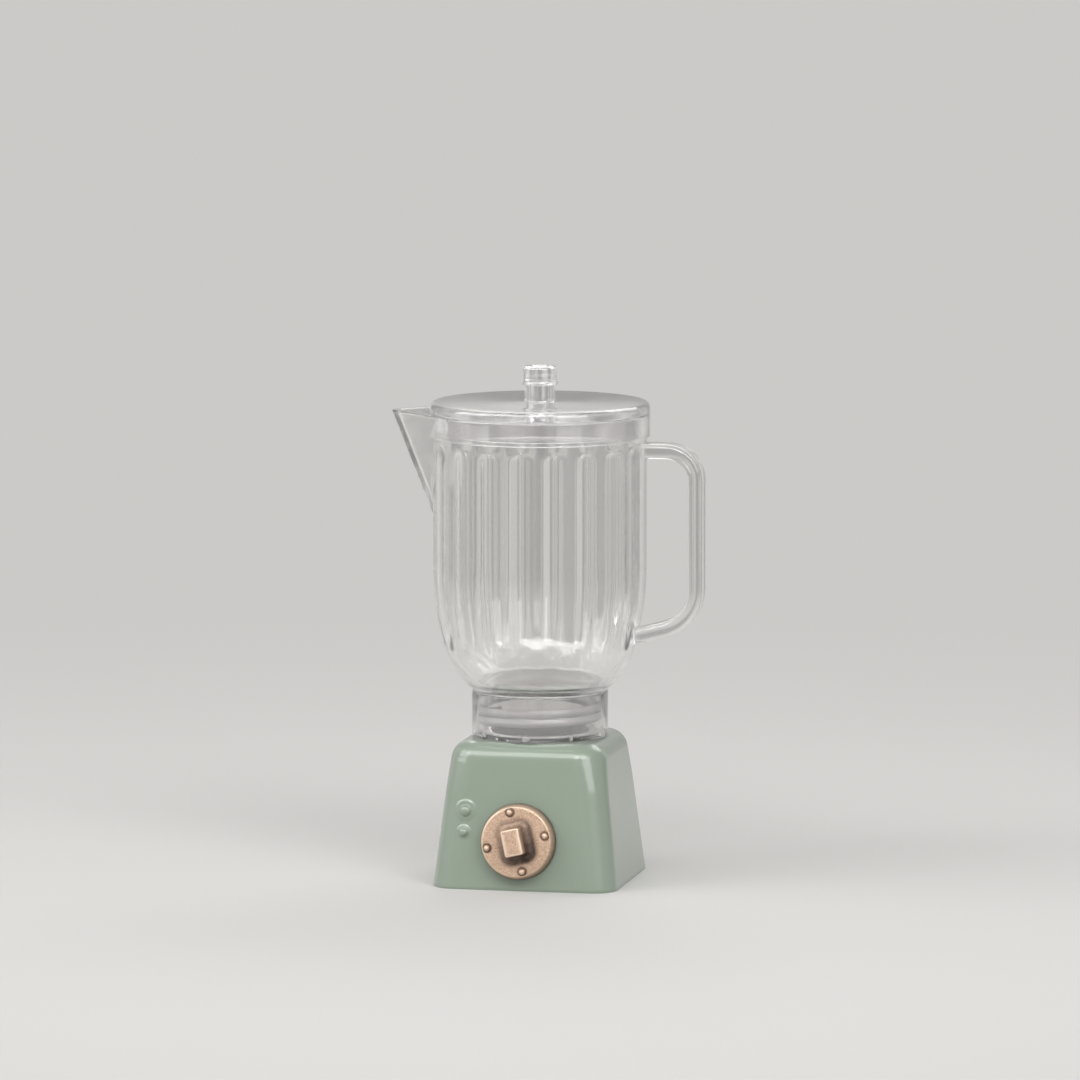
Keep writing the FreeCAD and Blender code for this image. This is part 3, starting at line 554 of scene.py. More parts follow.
jar_plastic = clear_plastic("clear_jar", (0.955, 0.95, 0.945), 0.02, 0.06)
collar_plastic = clear_plastic("clear_collar", (0.95, 0.94, 0.94), 0.02, 0.06)
lid_plastic = clear_plastic("clear_lid", (0.92, 0.91, 0.92), 0.03, 0.08)
# painted highlight: the thread's whitish frosted finish stands in for the bright highlight bands on
# its ridges
thread_highlight_plastic = clear_plastic("thread_painted_highlight", (0.97, 0.955, 0.95), 0.18, 0.25, 0.3)
dried_glue = clear_plastic("dried_glue", (0.92, 0.91, 0.89), 0.32, 0.45, 0.75)
sage_paint = gloss_paint("sage_paint", (0.247, 0.303, 0.24), (0.232, 0.286, 0.225), 0.37, 0.1)
copper_paint = antique_copper()


# ---- Clear jar ----
def jar_columns():
    """Angles of the jar's columns in degrees, closer together round the lip's nose at 180."""
    round_back = np.linspace(180 + NOSE_HALF_TURN, 540 - NOSE_HALF_TURN, 329)[:-1]
    round_nose = np.linspace(540 - NOSE_HALF_TURN, 540 + NOSE_HALF_TURN, 33)[:-1]
    return np.concatenate([round_back, round_nose])


def shoulder_arc(offset):
    """Centre and radius of the bowl's shoulder arc, on a curve `offset` inside the skin.

    The arc leaves the side arc smoothly and ends on the collar's top edge."""
    turn = math.radians(SIDE_ARC_TURN)
    corner = (JAR_RADIUS - SIDE_ARC * (1 - math.cos(turn)),
              BARREL_BOTTOM - SIDE_ARC * math.sin(turn))
    across = corner[0] - COLLAR_RADIUS
    down = corner[1] - NECK_TOP
    radius = (across ** 2 + down ** 2) / (2 * (across * math.cos(turn) - down * math.sin(turn)))
    centre = (corner[0] - radius * math.cos(turn), corner[1] + radius * math.sin(turn))
    return centre, radius - offset


def bowl_outline(offset, end_height, count):
    """The bowl's side from end_height up to the barrel: shoulder arc, then side arc."""
    centre, radius = shoulder_arc(offset)
    end = math.degrees(math.asin((end_height - centre[1]) / radius))
    shoulder = arc(centre, radius, end, -SIDE_ARC_TURN, count)
    side_centre = (JAR_RADIUS - SIDE_ARC, BARREL_BOTTOM)
    side = arc(side_centre, SIDE_ARC - offset, -SIDE_ARC_TURN, 0.0, count)
    return np.concatenate([shoulder, side[1:]])


def flute_depths(outline, columns):
    """How far the flutes cut into each point of the outer skin.

    A flute is the mark of a rod with round ends, laid along the skin. q is a skin point's
    distance from the rod's centre line, across it or past its ends, and the depth is
    sqrt(rod radius squared - q squared) less the rod's stand-off, where that is above zero. A
    small constant under a second root rounds the flute's edges, and the lower end is stretched.
    There is no flute behind the handle."""
    steps = np.linalg.norm(np.diff(outline, axis=0), axis=1)
    along = np.concatenate([[0.0], np.cumsum(steps)])
    level = np.interp(BARREL_BOTTOM, outline[:, 1], along)
    top = level + BAND_BOTTOM - FLUTE_TOP_MARGIN - BARREL_BOTTOM
    bottom = level - SIDE_ARC * math.radians(FLUTE_END_TURN)
    past_end = np.maximum(along - top, FLUTE_LOWER_STRETCH * (bottom - along))
    past_end = np.maximum(past_end, 0.0)[:, None]
    turn = (columns - FLUTE_PHASE + FLUTE_PITCH / 2) % FLUTE_PITCH - FLUTE_PITCH / 2
    behind_handle = np.abs((columns - FLUTE_PHASE + 180) % FULL_TURN - 180) < FLUTE_PITCH / 2
    across = outline[:, :1] * np.sin(np.radians(np.where(behind_handle, 90.0, turn)))
    distance = across ** 2 + past_end ** 2
    reach = np.sqrt(np.maximum(FLUTE_RADIUS ** 2 - distance, 0.0))
    depth = reach - (FLUTE_RADIUS - FLUTE_DEPTH)
    return (depth + np.sqrt(depth ** 2 + FLUTE_EDGE ** 2)) / 2


def wedge_radius(reach, nose, columns):
    """Distance from the axis to the pouring lip's sides, at each angle.

    The lip is a square corner pointing to -X: |x| + |y| = reach, so the distance at angle t from
    the nose is reach / (cos t + sin t), and zero beyond 45 degrees. The nose is an arc of radius
    `nose` that touches both sides."""
    turn = np.radians(np.abs((columns % FULL_TURN) - 180.0))
    sides = reach / (np.cos(turn) + np.sin(turn))
    centre = reach - nose * math.sqrt(2)
    touch = np.arctan2(nose * math.sqrt(0.5), centre + nose * math.sqrt(0.5))
    root = np.sqrt(np.maximum(nose ** 2 - (centre * np.sin(turn)) ** 2, 0.0))
    radius = np.where(turn < touch, centre * np.cos(turn) + root, sides)
    return np.where(turn < math.radians(45), radius, 0.0)


def with_lip(radius, height, inset, nose, columns):
    """Radius of the jar's wall with the pouring lip blended in.

    The lip's nose leaves the barrel at LIP_DROP below the rim and slants out to LIP_REACH. Sides
    that move in by `inset` bring the nose in by the root of two times that."""
    share = (height - (RIM_TOP - LIP_DROP)) / LIP_DROP
    reach = JAR_RADIUS + (LIP_REACH - JAR_RADIUS) * share - inset * math.sqrt(2)
    return larger_of(radius, wedge_radius(reach, nose, columns), LIP_BLEND)


def jar_foot():
    """Outlines of the floor's underside with the neck's bore and bottom edge, and of the neck's
    outside up to its seat on the collar."""
    bore = rounded([(0, NECK_TOP, 0), (4, NECK_TOP, 0), (NECK_BORE, NECK_TOP, 0.4),
                    (NECK_BORE, NECK_BOTTOM + 1, 0)], 5)
    bottom = rounded([(NECK_BORE, NECK_BOTTOM + 1, 0), (NECK_BORE, NECK_BOTTOM, 0.15),
                      (NECK_RADIUS, NECK_BOTTOM, 0.15), (NECK_RADIUS, NECK_BOTTOM + 0.6, 0)], 4)
    neck = straight_up(NECK_RADIUS, (NECK_BOTTOM + 0.7, NECK_TOP - 0.9, 4))
    seat = rounded([(NECK_RADIUS, NECK_TOP - 0.6, 0), (NECK_RADIUS, NECK_TOP, 0.3),
                    (COLLAR_RADIUS - 0.12, NECK_TOP, 0)], 5)
    return np.concatenate([bore, bottom[1:]]), np.concatenate([neck, seat])


def jar_outside(columns):
    """Rings of the fluted skin and the rim band. The flutes cut in along the skin's normal."""
    angles = np.radians(columns)
    skin = np.concatenate([bowl_outline(0.0, NECK_TOP, 28), straight_up(JAR_RADIUS, *BARREL_ROWS)])
    depth = flute_depths(skin, columns)
    inward = -normals_of(skin)
    height = skin[:, 1:] + inward[:, 1:] * depth
    radius = with_lip(skin[:, :1] + inward[:, :1] * depth, height, 0.0, LIP_NOSE, columns)

    band = rounded([(JAR_RADIUS, BAND_BOTTOM - 0.2, 0), (JAR_RADIUS, BAND_BOTTOM, 0.1),
                    (RIM_RADIUS, BAND_BOTTOM, 0.14), (RIM_RADIUS, BAND_BOTTOM + 0.4, 0)], 4)
    side = straight_up(RIM_RADIUS, (BAND_BOTTOM + 0.8, RIM_TOP - 0.3, 6))
    edge = arc((RIM_RADIUS - RIM_EDGE, RIM_TOP - RIM_EDGE), RIM_EDGE, 15, 90, 5)
    rim = np.concatenate([band, side, edge])
    inset = np.where(rim[:, 1:] > RIM_TOP - RIM_EDGE, RIM_RADIUS - rim[:, :1], 0.0)
    rim_radius = with_lip(rim[:, :1], rim[:, 1:], inset, LIP_NOSE, columns)
    return np.concatenate([around_axis(radius, height, angles),
                           around_axis(rim_radius, rim[:, 1:], angles)])


def jar_inside(columns):
    """Rings of the inside, from the rim's inner edge down to the middle of the floor."""
    angles = np.radians(columns)
    edge = arc((JAR_INSIDE + INNER_EDGE, RIM_TOP - INNER_EDGE), INNER_EDGE, 90, 180, 5)
    wall = np.concatenate([edge, straight_up(JAR_INSIDE, *INSIDE_ROWS)])
    on_edge = wall[:, 1:] > RIM_TOP - INNER_EDGE - TINY
    inset = LIP_WALL - np.where(on_edge, wall[:, :1] - JAR_INSIDE, 0.0)
    radius = with_lip(wall[:, :1], wall[:, 1:], inset, LIP_INNER_NOSE, columns)
    bowl = bowl_outline(JAR_WALL, FLOOR_TOP + 0.15, 22)[::-1]
    corner = bowl[-1, 0]
    floor = np.array([(corner - 0.25, FLOOR_TOP + 0.02), (corner - 0.7, FLOOR_TOP),
                      (6, FLOOR_TOP), (3, FLOOR_TOP), (0, FLOOR_TOP)])
    bottom = np.concatenate([bowl, floor])
    return np.concatenate([around_axis(radius, wall[:, 1:], angles),
                           around_axis(bottom[:, :1], bottom[:, 1:], angles)])


def build_jar():
    """The jar is one closed skin, from the underside of its floor round the neck, up the fluted
    outside, over the rim and down the inside to the floor's top."""
    columns = jar_columns()
    half_columns = columns[::2]
    bore, neck = jar_foot()
    below = around_axis(bore[:, :1], bore[:, 1:], np.radians(half_columns))
    outer = np.concatenate([around_axis(neck[:, :1], neck[:, 1:], np.radians(columns)),
                            jar_outside(columns)])
    inner = jar_inside(half_columns)

    points = np.concatenate([below[1:].reshape(-1, 3), outer.reshape(-1, 3),
                             inner[:-1].reshape(-1, 3), below[0, :1], inner[-1, :1]])
    below_rows = numbered_rows(below[1:])
    outer_rows = numbered_rows(outer, below_rows.size)
    inner_rows = numbered_rows(inner[:-1], below_rows.size + outer_rows.size)
    faces = strip(below_rows) + strip(outer_rows) + strip(inner_rows)
    faces += widening(below_rows[-1], outer_rows[0])
    faces += narrowing(outer_rows[-1], inner_rows[0])
    faces.append(pole(below_rows[0], len(points) - 2, True))
    faces.append(pole(inner_rows[-1], len(points) - 1, False))
    jar = make_piece("jar_body", (points, faces), "jar", jar_plastic)
    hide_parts("jar")


def build_thread():
    """Right-handed thread ridge round the neck: it climbs one pitch per turn. Its section is a
    triangle with a round crest, and it tapers to a point at both ends."""
    share = np.linspace(-1, 1, 11)
    crest = np.maximum(1 - np.sqrt(share ** 2 + THREAD_ROUNDING), 0)
    turns = np.linspace(*THREAD_TURNS, 241)[:, None]
    ends = np.minimum(turns - THREAD_TURNS[0], THREAD_TURNS[1] - turns)
    size = np.sqrt(np.clip(ends / THREAD_TAPER, 0, 1))
    radius = NECK_RADIUS + THREAD_GAP + THREAD_HEIGHT * size * crest
    height = THREAD_LEVEL + THREAD_PITCH * turns + THREAD_WIDTH / 2 * size * share
    grid = around_axis(radius, height, np.radians(turns * FULL_TURN))[:, ::-1]
    make_piece("neck_thread", closed_on_axis(grid), "jar", thread_highlight_plastic)


build_jar()
build_thread()


# ---- Handle ----
def handle_path():
    """Centre line of the handle in the plane y = 0: level arm, two bends and a sloping root."""
    slope = math.tan(math.radians(HANDLE_SLOPE))
    start = JAR_RADIUS - 0.6
    arm = RIM_TOP - HANDLE_DROP
    level = HANDLE_ROOT + (HANDLE_REACH - start) * slope
    return rounded([(start, arm, 0), (HANDLE_REACH, arm, HANDLE_UPPER_BEND),
                    (HANDLE_REACH, level, HANDLE_LOWER_BEND), (start - 1, HANDLE_ROOT - slope, 0)],
                   18)


def slid_to_skin(points, direction):
    """Slides points along a direction until they lie HANDLE_GLUE_GAP outside the jar's skin, which
    is the barrel or, below it, the side arc. Each round moves them by the gap that is left,
    divided by the direction's outward share."""
    for _ in range(12):
        below = np.clip(BARREL_BOTTOM - points[..., 2], 0, None)
        skin = JAR_RADIUS - SIDE_ARC + np.sqrt(SIDE_ARC ** 2 - below ** 2)
        left = skin + HANDLE_GLUE_GAP - np.hypot(points[..., 0], points[..., 1])
        points = points + direction * (left / direction[0])[..., None]
    return points


def build_handle():
    """The strap's section is carried along the path, square to it. Both ends are slid to the
    jar's skin and closed by rings that shrink to a point on it."""
    path = handle_path()
    along = np.gradient(path, axis=0)
    along /= np.linalg.norm(along, axis=1)[:, None]
    path, along = (np.insert(plane, 1, 0.0, axis=1) for plane in (path, along))
    section = rounded_rectangle(HANDLE_WIDTH / 2, HANDLE_THICKNESS / 2, HANDLE_EDGE, 0.0, 6)

    def station(number, size=1.0):
        """The section, times a size, at one of the path's points."""
        outward = np.array([along[number, 2], 0.0, -along[number, 0]])
        sideways = np.array([0.0, 1.0, 0.0])
        return path[number] + size * (section[:, :1] * sideways + section[:, 1:] * outward)

    caps = (1.0, 0.97, 0.6, 0.25, 0.0)
    first = [slid_to_skin(station(0, size), along[0]) for size in caps[::-1]]
    middle = [station(number) for number in range(1, len(path) - 1)]
    last = [slid_to_skin(station(-1, size), along[-1]) for size in caps]
    grid = np.array([*first, *middle, *last])[:, ::-1]
    handle = make_piece("handle_loop", closed_on_axis(grid), "jar", jar_plastic,
                        sharp=50)
    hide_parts("jar_handle")


build_handle()


# ---- Collar, lid and cap ----
def build_collar():
    """Clear screw ring on the base, with its spigot in the base's top hole."""
    outline = rounded([(SPIGOT_BORE, SPIGOT_BOTTOM + 1, 0), (SPIGOT_BORE, SPIGOT_BOTTOM, 0.1),
                       (SPIGOT_RADIUS, SPIGOT_BOTTOM, 0.1), (SPIGOT_RADIUS, BASE_TOP, 0.05),
                       (COLLAR_RADIUS, BASE_TOP, 0.12), (COLLAR_RADIUS, COLLAR_TOP, 0.15),
                       (COLLAR_BORE, COLLAR_TOP, 0.15), (COLLAR_BORE, NECK_BOTTOM, 0.12),
                       (SPIGOT_BORE, NECK_BOTTOM, 0.1), (SPIGOT_BORE, SPIGOT_BOTTOM + 1.1, 0)], 5)
    collar = make_piece("screw_collar", closed_ring(turned(outline, 160)), "base", collar_plastic)
    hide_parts("neck_collar")


def build_lid():
    """Flat lid with a skirt in the jar's mouth and a bored stem for the cap."""
    seat = RIM_TOP + SEAT_GAP
    outline = rounded([(STEM_BORE, RIM_TOP + 1, 0), (STEM_BORE, RIM_TOP, 0.1),
                       (SKIRT_BORE, RIM_TOP, 0.3), (SKIRT_BORE, SKIRT_BOTTOM, 0.2),
                       (SKIRT_RADIUS, SKIRT_BOTTOM, 0.25), (SKIRT_RADIUS, seat, 0.15),
                       (LID_RADIUS, seat, 0.2), (LID_RADIUS, LID_TOP, 0.8),
                       (STEM_RADIUS, LID_TOP, 0.25), (STEM_RADIUS, STEM_TOP, 0.15),
                       (STEM_BORE, STEM_TOP, 0.15), (STEM_BORE, RIM_TOP + 1.1, 0)])
    lid = make_piece("jar_lid", closed_ring(turned(outline, 192)), "lid", lid_plastic)
    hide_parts("lid")


def build_cap():
    """Plug cap with a thin flange and a shallow dish in its top."""
    outline = rounded([(0, CAP_BOTTOM, 0), (CAP_PLUG, CAP_BOTTOM, 0.3), (CAP_PLUG, STEM_TOP, 0.08),
                       (CAP_FLANGE, STEM_TOP + SEAT_GAP, 0.1), (CAP_FLANGE, CAP_FLANGE_TOP, 0.1),
                       (CAP_RADIUS, CAP_FLANGE_TOP, 0.08), (CAP_RADIUS, CAP_TOP, 0.45),
                       (1.5, CAP_TOP, 0.3), (1.2, CAP_DISH, 0.2), (0, CAP_DISH, 0)])
    cap = make_piece("plug_cap", closed_on_axis(turned(outline, 72)), "cap", lid_plastic)
    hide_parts("lid_cap")


build_collar()
build_lid()
build_cap()


# ---- Painted housing ----
BASE_HALF = housing_high[0]
SIDE_TAPER = math.radians(6.5)
SIDE_SLOPE = math.tan(SIDE_TAPER)
BASE_WALL = 1.4
WALL_ACROSS = BASE_WALL / math.cos(SIDE_TAPER)
BASE_CEILING = BASE_TOP - BASE_WALL
FOOT_EDGE = 0.1
# the corners' radius, and the height and length of its growth
CORNER_BELOW = 3.6
CORNER_ABOVE = 4.5
CORNER_GROWTH = (13.5, 6.5)

SHOULDER = 2.8
SHOULDER_END = 60.0
SHOULDER_LEVEL = BASE_TOP - SHOULDER
SHOULDER_CENTRE = BASE_HALF - SHOULDER_LEVEL * SIDE_SLOPE - SHOULDER / math.cos(SIDE_TAPER)
SHOULDER_HALF = SHOULDER_CENTRE + SHOULDER * math.cos(SIDE_TAPER)
TOP_HOLE = 9.2
# the top ends at this share of the hole's radius, and falls by so much to the hole
HOLE_EDGE = (1.006, 0.06)

DIAL_PLACE = (-0.38, 7.15)
DIAL_BORE = 1.56
# half width of the front's flat part at the dial, and of the block of faces that the bore replaces
DIAL_FLAT = 9.2
BORE_BLOCK = (1.35, 1.3)
# how far beyond the block points still follow, in half blocks
BORE_FADE = 1.3

BOSS_PLACE = 8.5
BOSS_RADIUS = 1.6
BOSS_BOTTOM = 1.25
PILOT = (0.62, 5.5)

# centre (x, z), radius of the soft pad's slope, its width, the dome's radius and height
FRONT_DOMES = (((-8.4, 11.35), 1.62, 0.62, 0.86, 0.56), ((-8.6, 8.25), 1.1, 0.5, 0.68, 0.46))
PAD_RISE = 0.2
DOME_BLEND = 0.05

# heights of the sides' rows of points, close together at the dial and the domes
SIDE_ROWS = np.concatenate([[0.12, 0.6, 1.4, 2.4, 3.4, 4.4, 5.2], np.linspace(5.8, 13.4, 72),
                            [14.2, 15, 15.8, 16.6, 17.3, 17.9,
                             SHOULDER_LEVEL + SHOULDER * math.sin(SIDE_TAPER)]])


def base_columns():
    """Corner centres and outward directions of the housing's columns, anticlockwise from the
    front face's left end and closer together at the domes. A column's point is the centre times
    (half width - corner radius), plus the direction times the corner radius."""
    front = np.concatenate([np.linspace(-1.0, -0.74, 25)[:-1], np.linspace(-0.74, 1.0, 37)[:-1]])
    even = np.linspace(-1.0, 1.0, 15)[:-1]
    corner = np.linspace(0, 90, 15)[:-1]
    domed_corner = np.concatenate([np.linspace(0, 60, 10)[:-1], np.linspace(60, 90, 19)[:-1]])
    centres, outward = [], []
    for turn, shares, bend in ((0, front, corner), (90, even, corner), (180, even, corner),
                               (270, even, domed_corner)):
        bend = np.radians(bend - 90)
        x = np.concatenate([shares, np.ones(len(bend))])
        out_x = np.concatenate([0 * shares, np.cos(bend)])
        out_y = np.concatenate([0 * shares - 1, np.sin(bend)])
        c, s = round(math.cos(math.radians(turn))), round(math.sin(math.radians(turn)))
        centres.append(np.stack([x * c + s, x * s - c], axis=1))
        outward.append(np.stack([out_x * c - out_y * s, out_x * s + out_y * c], axis=1))
    return np.concatenate(centres), np.concatenate(outward)


CENTRES, OUTWARD = base_columns()


def base_rings(half, corner, height):
    """Rings of points: rounded squares of the given half widths and corner radii."""
    half, corner, height = (np.broadcast_to(value, np.shape(height))[:, None, None]
                            for value in (half, corner, height))
    flat = (half - corner) * CENTRES + corner * OUTWARD
    return np.concatenate([flat, np.broadcast_to(height, (*flat.shape[:2], 1))], axis=2)


def raise_domes(rings):
    """Lifts the skin along the front face's normal. A pad is a low step with a soft edge, longer
    on its lower side; its dome is a cap of a sphere, blended in at its foot."""
    normal = np.array([0.0, -math.cos(SIDE_TAPER), math.sin(SIDE_TAPER)])
    lift = np.zeros(rings.shape[:2])
    for (x, z), pad, slope, dome, height in FRONT_DOMES:
        up = (rings[..., 2] - z) / math.cos(SIDE_TAPER)
        away = np.hypot(rings[..., 0] - x, up)
        lower = smooth(0.5 - 0.5 * up / np.maximum(away, TINY))
        start = pad - slope / 2 - 0.55 * slope * lower
        step = PAD_RISE * (1 - smooth((away - start) / (pad + slope / 2 - start)))
        ball = (dome ** 2 + height ** 2) / (2 * height)
        cap = np.sqrt(np.maximum(ball ** 2 - away ** 2, 0)) - (ball - height)
        lift += step + larger_of(cap, 0 * cap, DOME_BLEND) - DOME_BLEND / 2
    lift = np.where(rings[..., 1] < 0, np.maximum(lift, 0), 0)
    return rings + lift[..., None] * normal


def open_bore(rings, height):
    """Moves the front face's points near the dial's bore: a block of the grid becomes the
    bore's circle, and the points round it follow by less and less."""
    x, z = DIAL_PLACE[0], height
    columns = np.where((CENTRES[:, 1] == -1) & (OUTWARD[:, 0] == 0)
                       & (np.abs(CENTRES[:, 0] * DIAL_FLAT - x) < BORE_BLOCK[0]))[0]
    levels = np.where(np.abs(rings[:, 0, 2] - z) < BORE_BLOCK[1])[0]
    block = rings[levels[0]:levels[-1] + 1, columns[0]:columns[-1] + 1]
    low, high = block.min(axis=(0, 1)), block.max(axis=(0, 1))
    middle, size = (low + high) / 2, (high - low) / 2
    across = (rings[..., 0] - middle[0]) / size[0]
    up = (rings[..., 2] - middle[2]) / size[2]
    ring = np.maximum(np.maximum(np.abs(across), np.abs(up)), TINY)
    share = np.where(rings[..., 1] < 0, 1 - smooth((ring - 1) / BORE_FADE), 0)
    length = np.maximum(np.hypot(across, up), TINY)
    shift_x = share * (x + DIAL_BORE * ring * across / length - rings[..., 0])
    shift_z = share * (z + DIAL_BORE * ring * up / length * math.cos(SIDE_TAPER) - rings[..., 2])
    return rings + np.stack([shift_x, shift_z * SIDE_SLOPE, shift_z], axis=2), levels, columns


def shoulder_height(x, y):
    """Height of the rounded shoulder and the flat top over (x, y). The distance d is the half
    width of the rounded square through the point, and the height follows a circle over it."""
    inner = SHOULDER_HALF - CORNER_ABOVE
    d = inner + np.hypot(np.maximum(np.abs(x) - inner, 0), np.maximum(np.abs(y) - inner, 0))
    beyond = np.clip(d - SHOULDER_CENTRE, 0, SHOULDER)
    return SHOULDER_LEVEL + np.sqrt(SHOULDER ** 2 - beyond ** 2)


def block_edge(levels, columns, rows):
    """Vertex numbers round a block of the grid, anticlockwise."""
    bottom, top = levels[0], levels[-1]
    return np.concatenate([rows[bottom, columns[:-1]], rows[levels[:-1], columns[-1]],
                           rows[top, columns[:0:-1]], rows[levels[:0:-1], columns[0]]])


def housing_top(rim):
    """Rings from the shoulder's last ring in to the round hole, and the hole's edge down to the
    ceiling. Points go straight from the ring to the hole, at the height of the shoulder."""
    hole = rim / np.linalg.norm(rim, axis=1)[:, None] * TOP_HOLE
    share = np.linspace(0, 1, 17)[1:, None, None]
    flat = (1 - share) * rim + share * hole * HOLE_EDGE[0]
    top = np.concatenate([flat, shoulder_height(flat[..., :1], flat[..., 1:])], axis=2)
    edge = np.concatenate([hole, top[-1, :, 2:] - HOLE_EDGE[1]], axis=1)[None]
    throat = np.concatenate([hole, np.full((len(hole), 1), BASE_CEILING)], axis=1)[None]
    return np.concatenate([top, edge, throat])


def build_housing():
    """One closed skin: up the tapered sides, over the shoulder, in to the round hole, down its
    edge, along the ceiling and down the inside; with the dial's bore and four screw bosses."""
    start, length = CORNER_GROWTH
    corners = CORNER_BELOW + (CORNER_ABOVE - CORNER_BELOW) * smooth((SIDE_ROWS - start) / length)
    sides = base_rings(BASE_HALF - SIDE_ROWS * SIDE_SLOPE, corners, SIDE_ROWS)
    sides, levels, columns = open_bore(raise_domes(sides), DIAL_PLACE[1])
    foot = base_rings(BASE_HALF - FOOT_EDGE, CORNER_BELOW - FOOT_EDGE, np.array([0.0]))

    bend = np.radians(np.linspace(math.degrees(SIDE_TAPER), SHOULDER_END, 17)[1:])
    half = SHOULDER_CENTRE + SHOULDER * np.cos(bend)
    shoulder = base_rings(half, CORNER_ABOVE - SHOULDER_HALF + half,
                          SHOULDER_LEVEL + SHOULDER * np.sin(bend))
    top = housing_top(shoulder[-1, :, :2])

    drop = BASE_WALL * math.sin(SIDE_TAPER)
    inside = np.concatenate([[0.0], SIDE_ROWS[(SIDE_ROWS > 1.3) & (SIDE_ROWS < 17.5)] - drop,
                             [BASE_CEILING]])
    walls = base_rings(BASE_HALF - WALL_ACROSS - inside * SIDE_SLOPE, CORNER_BELOW - BASE_WALL,
                       inside)
    walls, inner_levels, _ = open_bore(walls, DIAL_PLACE[1] - drop)
    walls = walls[::-1]
    ceiling = top[-1:] + (walls[:1] - top[-1:]) * np.array([0.35, 0.7])[:, None, None]

    grid = np.concatenate([foot, sides, shoulder, top, ceiling, walls])
    rows = numbered_rows(grid)
    outer_levels = levels + 1
    inner_levels = len(grid) - 1 - inner_levels
    solid = np.ones(grid.shape[:2], bool)
    for first, last in ((outer_levels[0], outer_levels[-1]), (inner_levels[-1], inner_levels[0])):
        solid[first:last, columns[0]:columns[-1]] = False
    faces = [quads[solid[number]] for number, quads in enumerate(strip(rows, wrap=True))]
    faces.append(ring_of_faces(block_edge(outer_levels, columns, rows),
                               block_edge(inner_levels, columns, rows)))

    root = BASE_CEILING + 0.05
    boss = np.array([(0, PILOT[1]), PILOT, (PILOT[0], BOSS_BOTTOM), (BOSS_RADIUS, BOSS_BOTTOM),
                     (BOSS_RADIUS, root), (0, root)])
    bosses = [closed_on_axis(turned(boss, 32) + np.array([x, y, 0]))
              for x in (-BOSS_PLACE, BOSS_PLACE) for y in (-BOSS_PLACE, BOSS_PLACE)]
    housing = make_piece("painted_housing", joined([(grid.reshape(-1, 3), faces), *bosses]),
                         "base", sage_paint, sharp=50)
    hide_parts("housing")


# angle round the collar in degrees, half length and half height of each smear
GLUE_SMEARS = ((227, 0.5, 0.36), (243, 0.25, 0.2), (270, 0.66, 0.38), (309, 0.32, 0.36),
               (357, 0.42, 0.5), (20, 0.3, 0.25), (75, 0.5, 0.35), (118, 0.34, 0.3),
               (166, 0.6, 0.3))
GLUE_THICKNESS = 0.14
GLUE_LIFT = 0.1


def glue_smear(angle, length, rise):
    """Flat ball, long round the collar, whose size varies by about a tenth with two and three
    times the angle, so no two look alike."""
    ball = turned(arc((0, 0), 1.0, -90, 90, 13), 24)
    turn = np.radians(np.arange(24) * FULL_TURN / 24)
    size = (1 + 0.1 * np.cos(3 * turn + angle) + 0.12 * np.cos(2 * turn + angle / 2))[None, :]
    along, up = ball[..., 0] * size * length, ball[..., 1] * size * rise
    height = BASE_TOP + 1.25 * rise + GLUE_LIFT + up
    radius = COLLAR_RADIUS + GLUE_THICKNESS * ball[..., 2]
    return closed_on_axis(around_axis(radius, height, np.radians(angle) + along / COLLAR_RADIUS))


def build_glue():
    """Smears of dried glue on the collar's foot."""
    smears = joined(glue_smear(*row) for row in GLUE_SMEARS)
    make_piece("glue_smears", smears, "base", dried_glue)


build_housing()
build_glue()


# ---- Dial ----
DIAL_JOINT = next(joint for joint in frame["record"]["behaviour"]["joints"]
                  if joint["name"] == "dial_turn")
DIAL_RADIUS = 5.55
DIAL_FACE_RADIUS = 5.1
DIAL_BACK = 0.15
DIAL_FACE = 2.25
DIAL_TURN = 13.3
GRIP_HALF = (1.35, 1.95)
GRIP_HEIGHT = 3.1
GRIP_CORNER = 0.35
GRIP_FLARE = 1.05
GRIP_RIM = 0.2
GRIP_ROOT = 0.12
STUD_CIRCLE = 4.38
STUD_RADIUS = 0.52
DIMPLE_RADIUS = STUD_RADIUS + 0.06
DIMPLE_WIDTH = 0.15
DIMPLE_DEPTH = 0.07
STUD_FOOT = -0.2
# widths over which the dark patina and painted shade beside the grip, and the face's edge that
# rubbed wear and a painted highlight brighten, fade out
WASH_AND_SHADE_FADE = 0.45
RUB_AND_HIGHLIGHT_FADE = 0.16
DIAL_STEM = 1.5
STEM_END = -1.85
DIAL_PILOT = (0.6, 0.05)


def on_dial(points):
    """Moves points from the dial's own frame (x, y, outward) to the part's frame: turned about
    the outward axis, then laid on the sloping front face."""
    seat = np.array(DIAL_JOINT["pos_m"]) / MM
    outward = np.array(DIAL_JOINT["axis"], float)
    across = np.array([1.0, 0.0, 0.0])
    up = np.cross(outward, across)
    turn = math.radians(DIAL_TURN)
    x = points[:, :1] * math.cos(turn) - points[:, 1:2] * math.sin(turn)
    y = points[:, :1] * math.sin(turn) + points[:, 1:2] * math.cos(turn)
    return seat + x * across + y * up + points[:, 2:] * outward


def stud_centres():
    """Middles of the four studs, a quarter turn apart."""
    angles = np.radians([0.0, 90.0, 180.0, 270.0])
    return STUD_CIRCLE * np.stack([np.cos(angles), np.sin(angles)], axis=1)


def beyond_grip(x, y):
    """Distance outside the grip's rectangle with its round corners."""
    inner = np.array(GRIP_HALF) - GRIP_CORNER
    dx = np.maximum(np.abs(x) - inner[0], 0)
    dy = np.maximum(np.abs(y) - inner[1], 0)
    return np.hypot(dx, dy) - GRIP_CORNER


def shade_share(x, y):
    """Painted shade: strength of the dark wash round the grip, full on its lower right side, away
    from the light, and less opposite.
    """
    return 0.72 + 0.28 * (0.6 * x - 0.8 * y) / np.maximum(np.hypot(x, y), TINY)


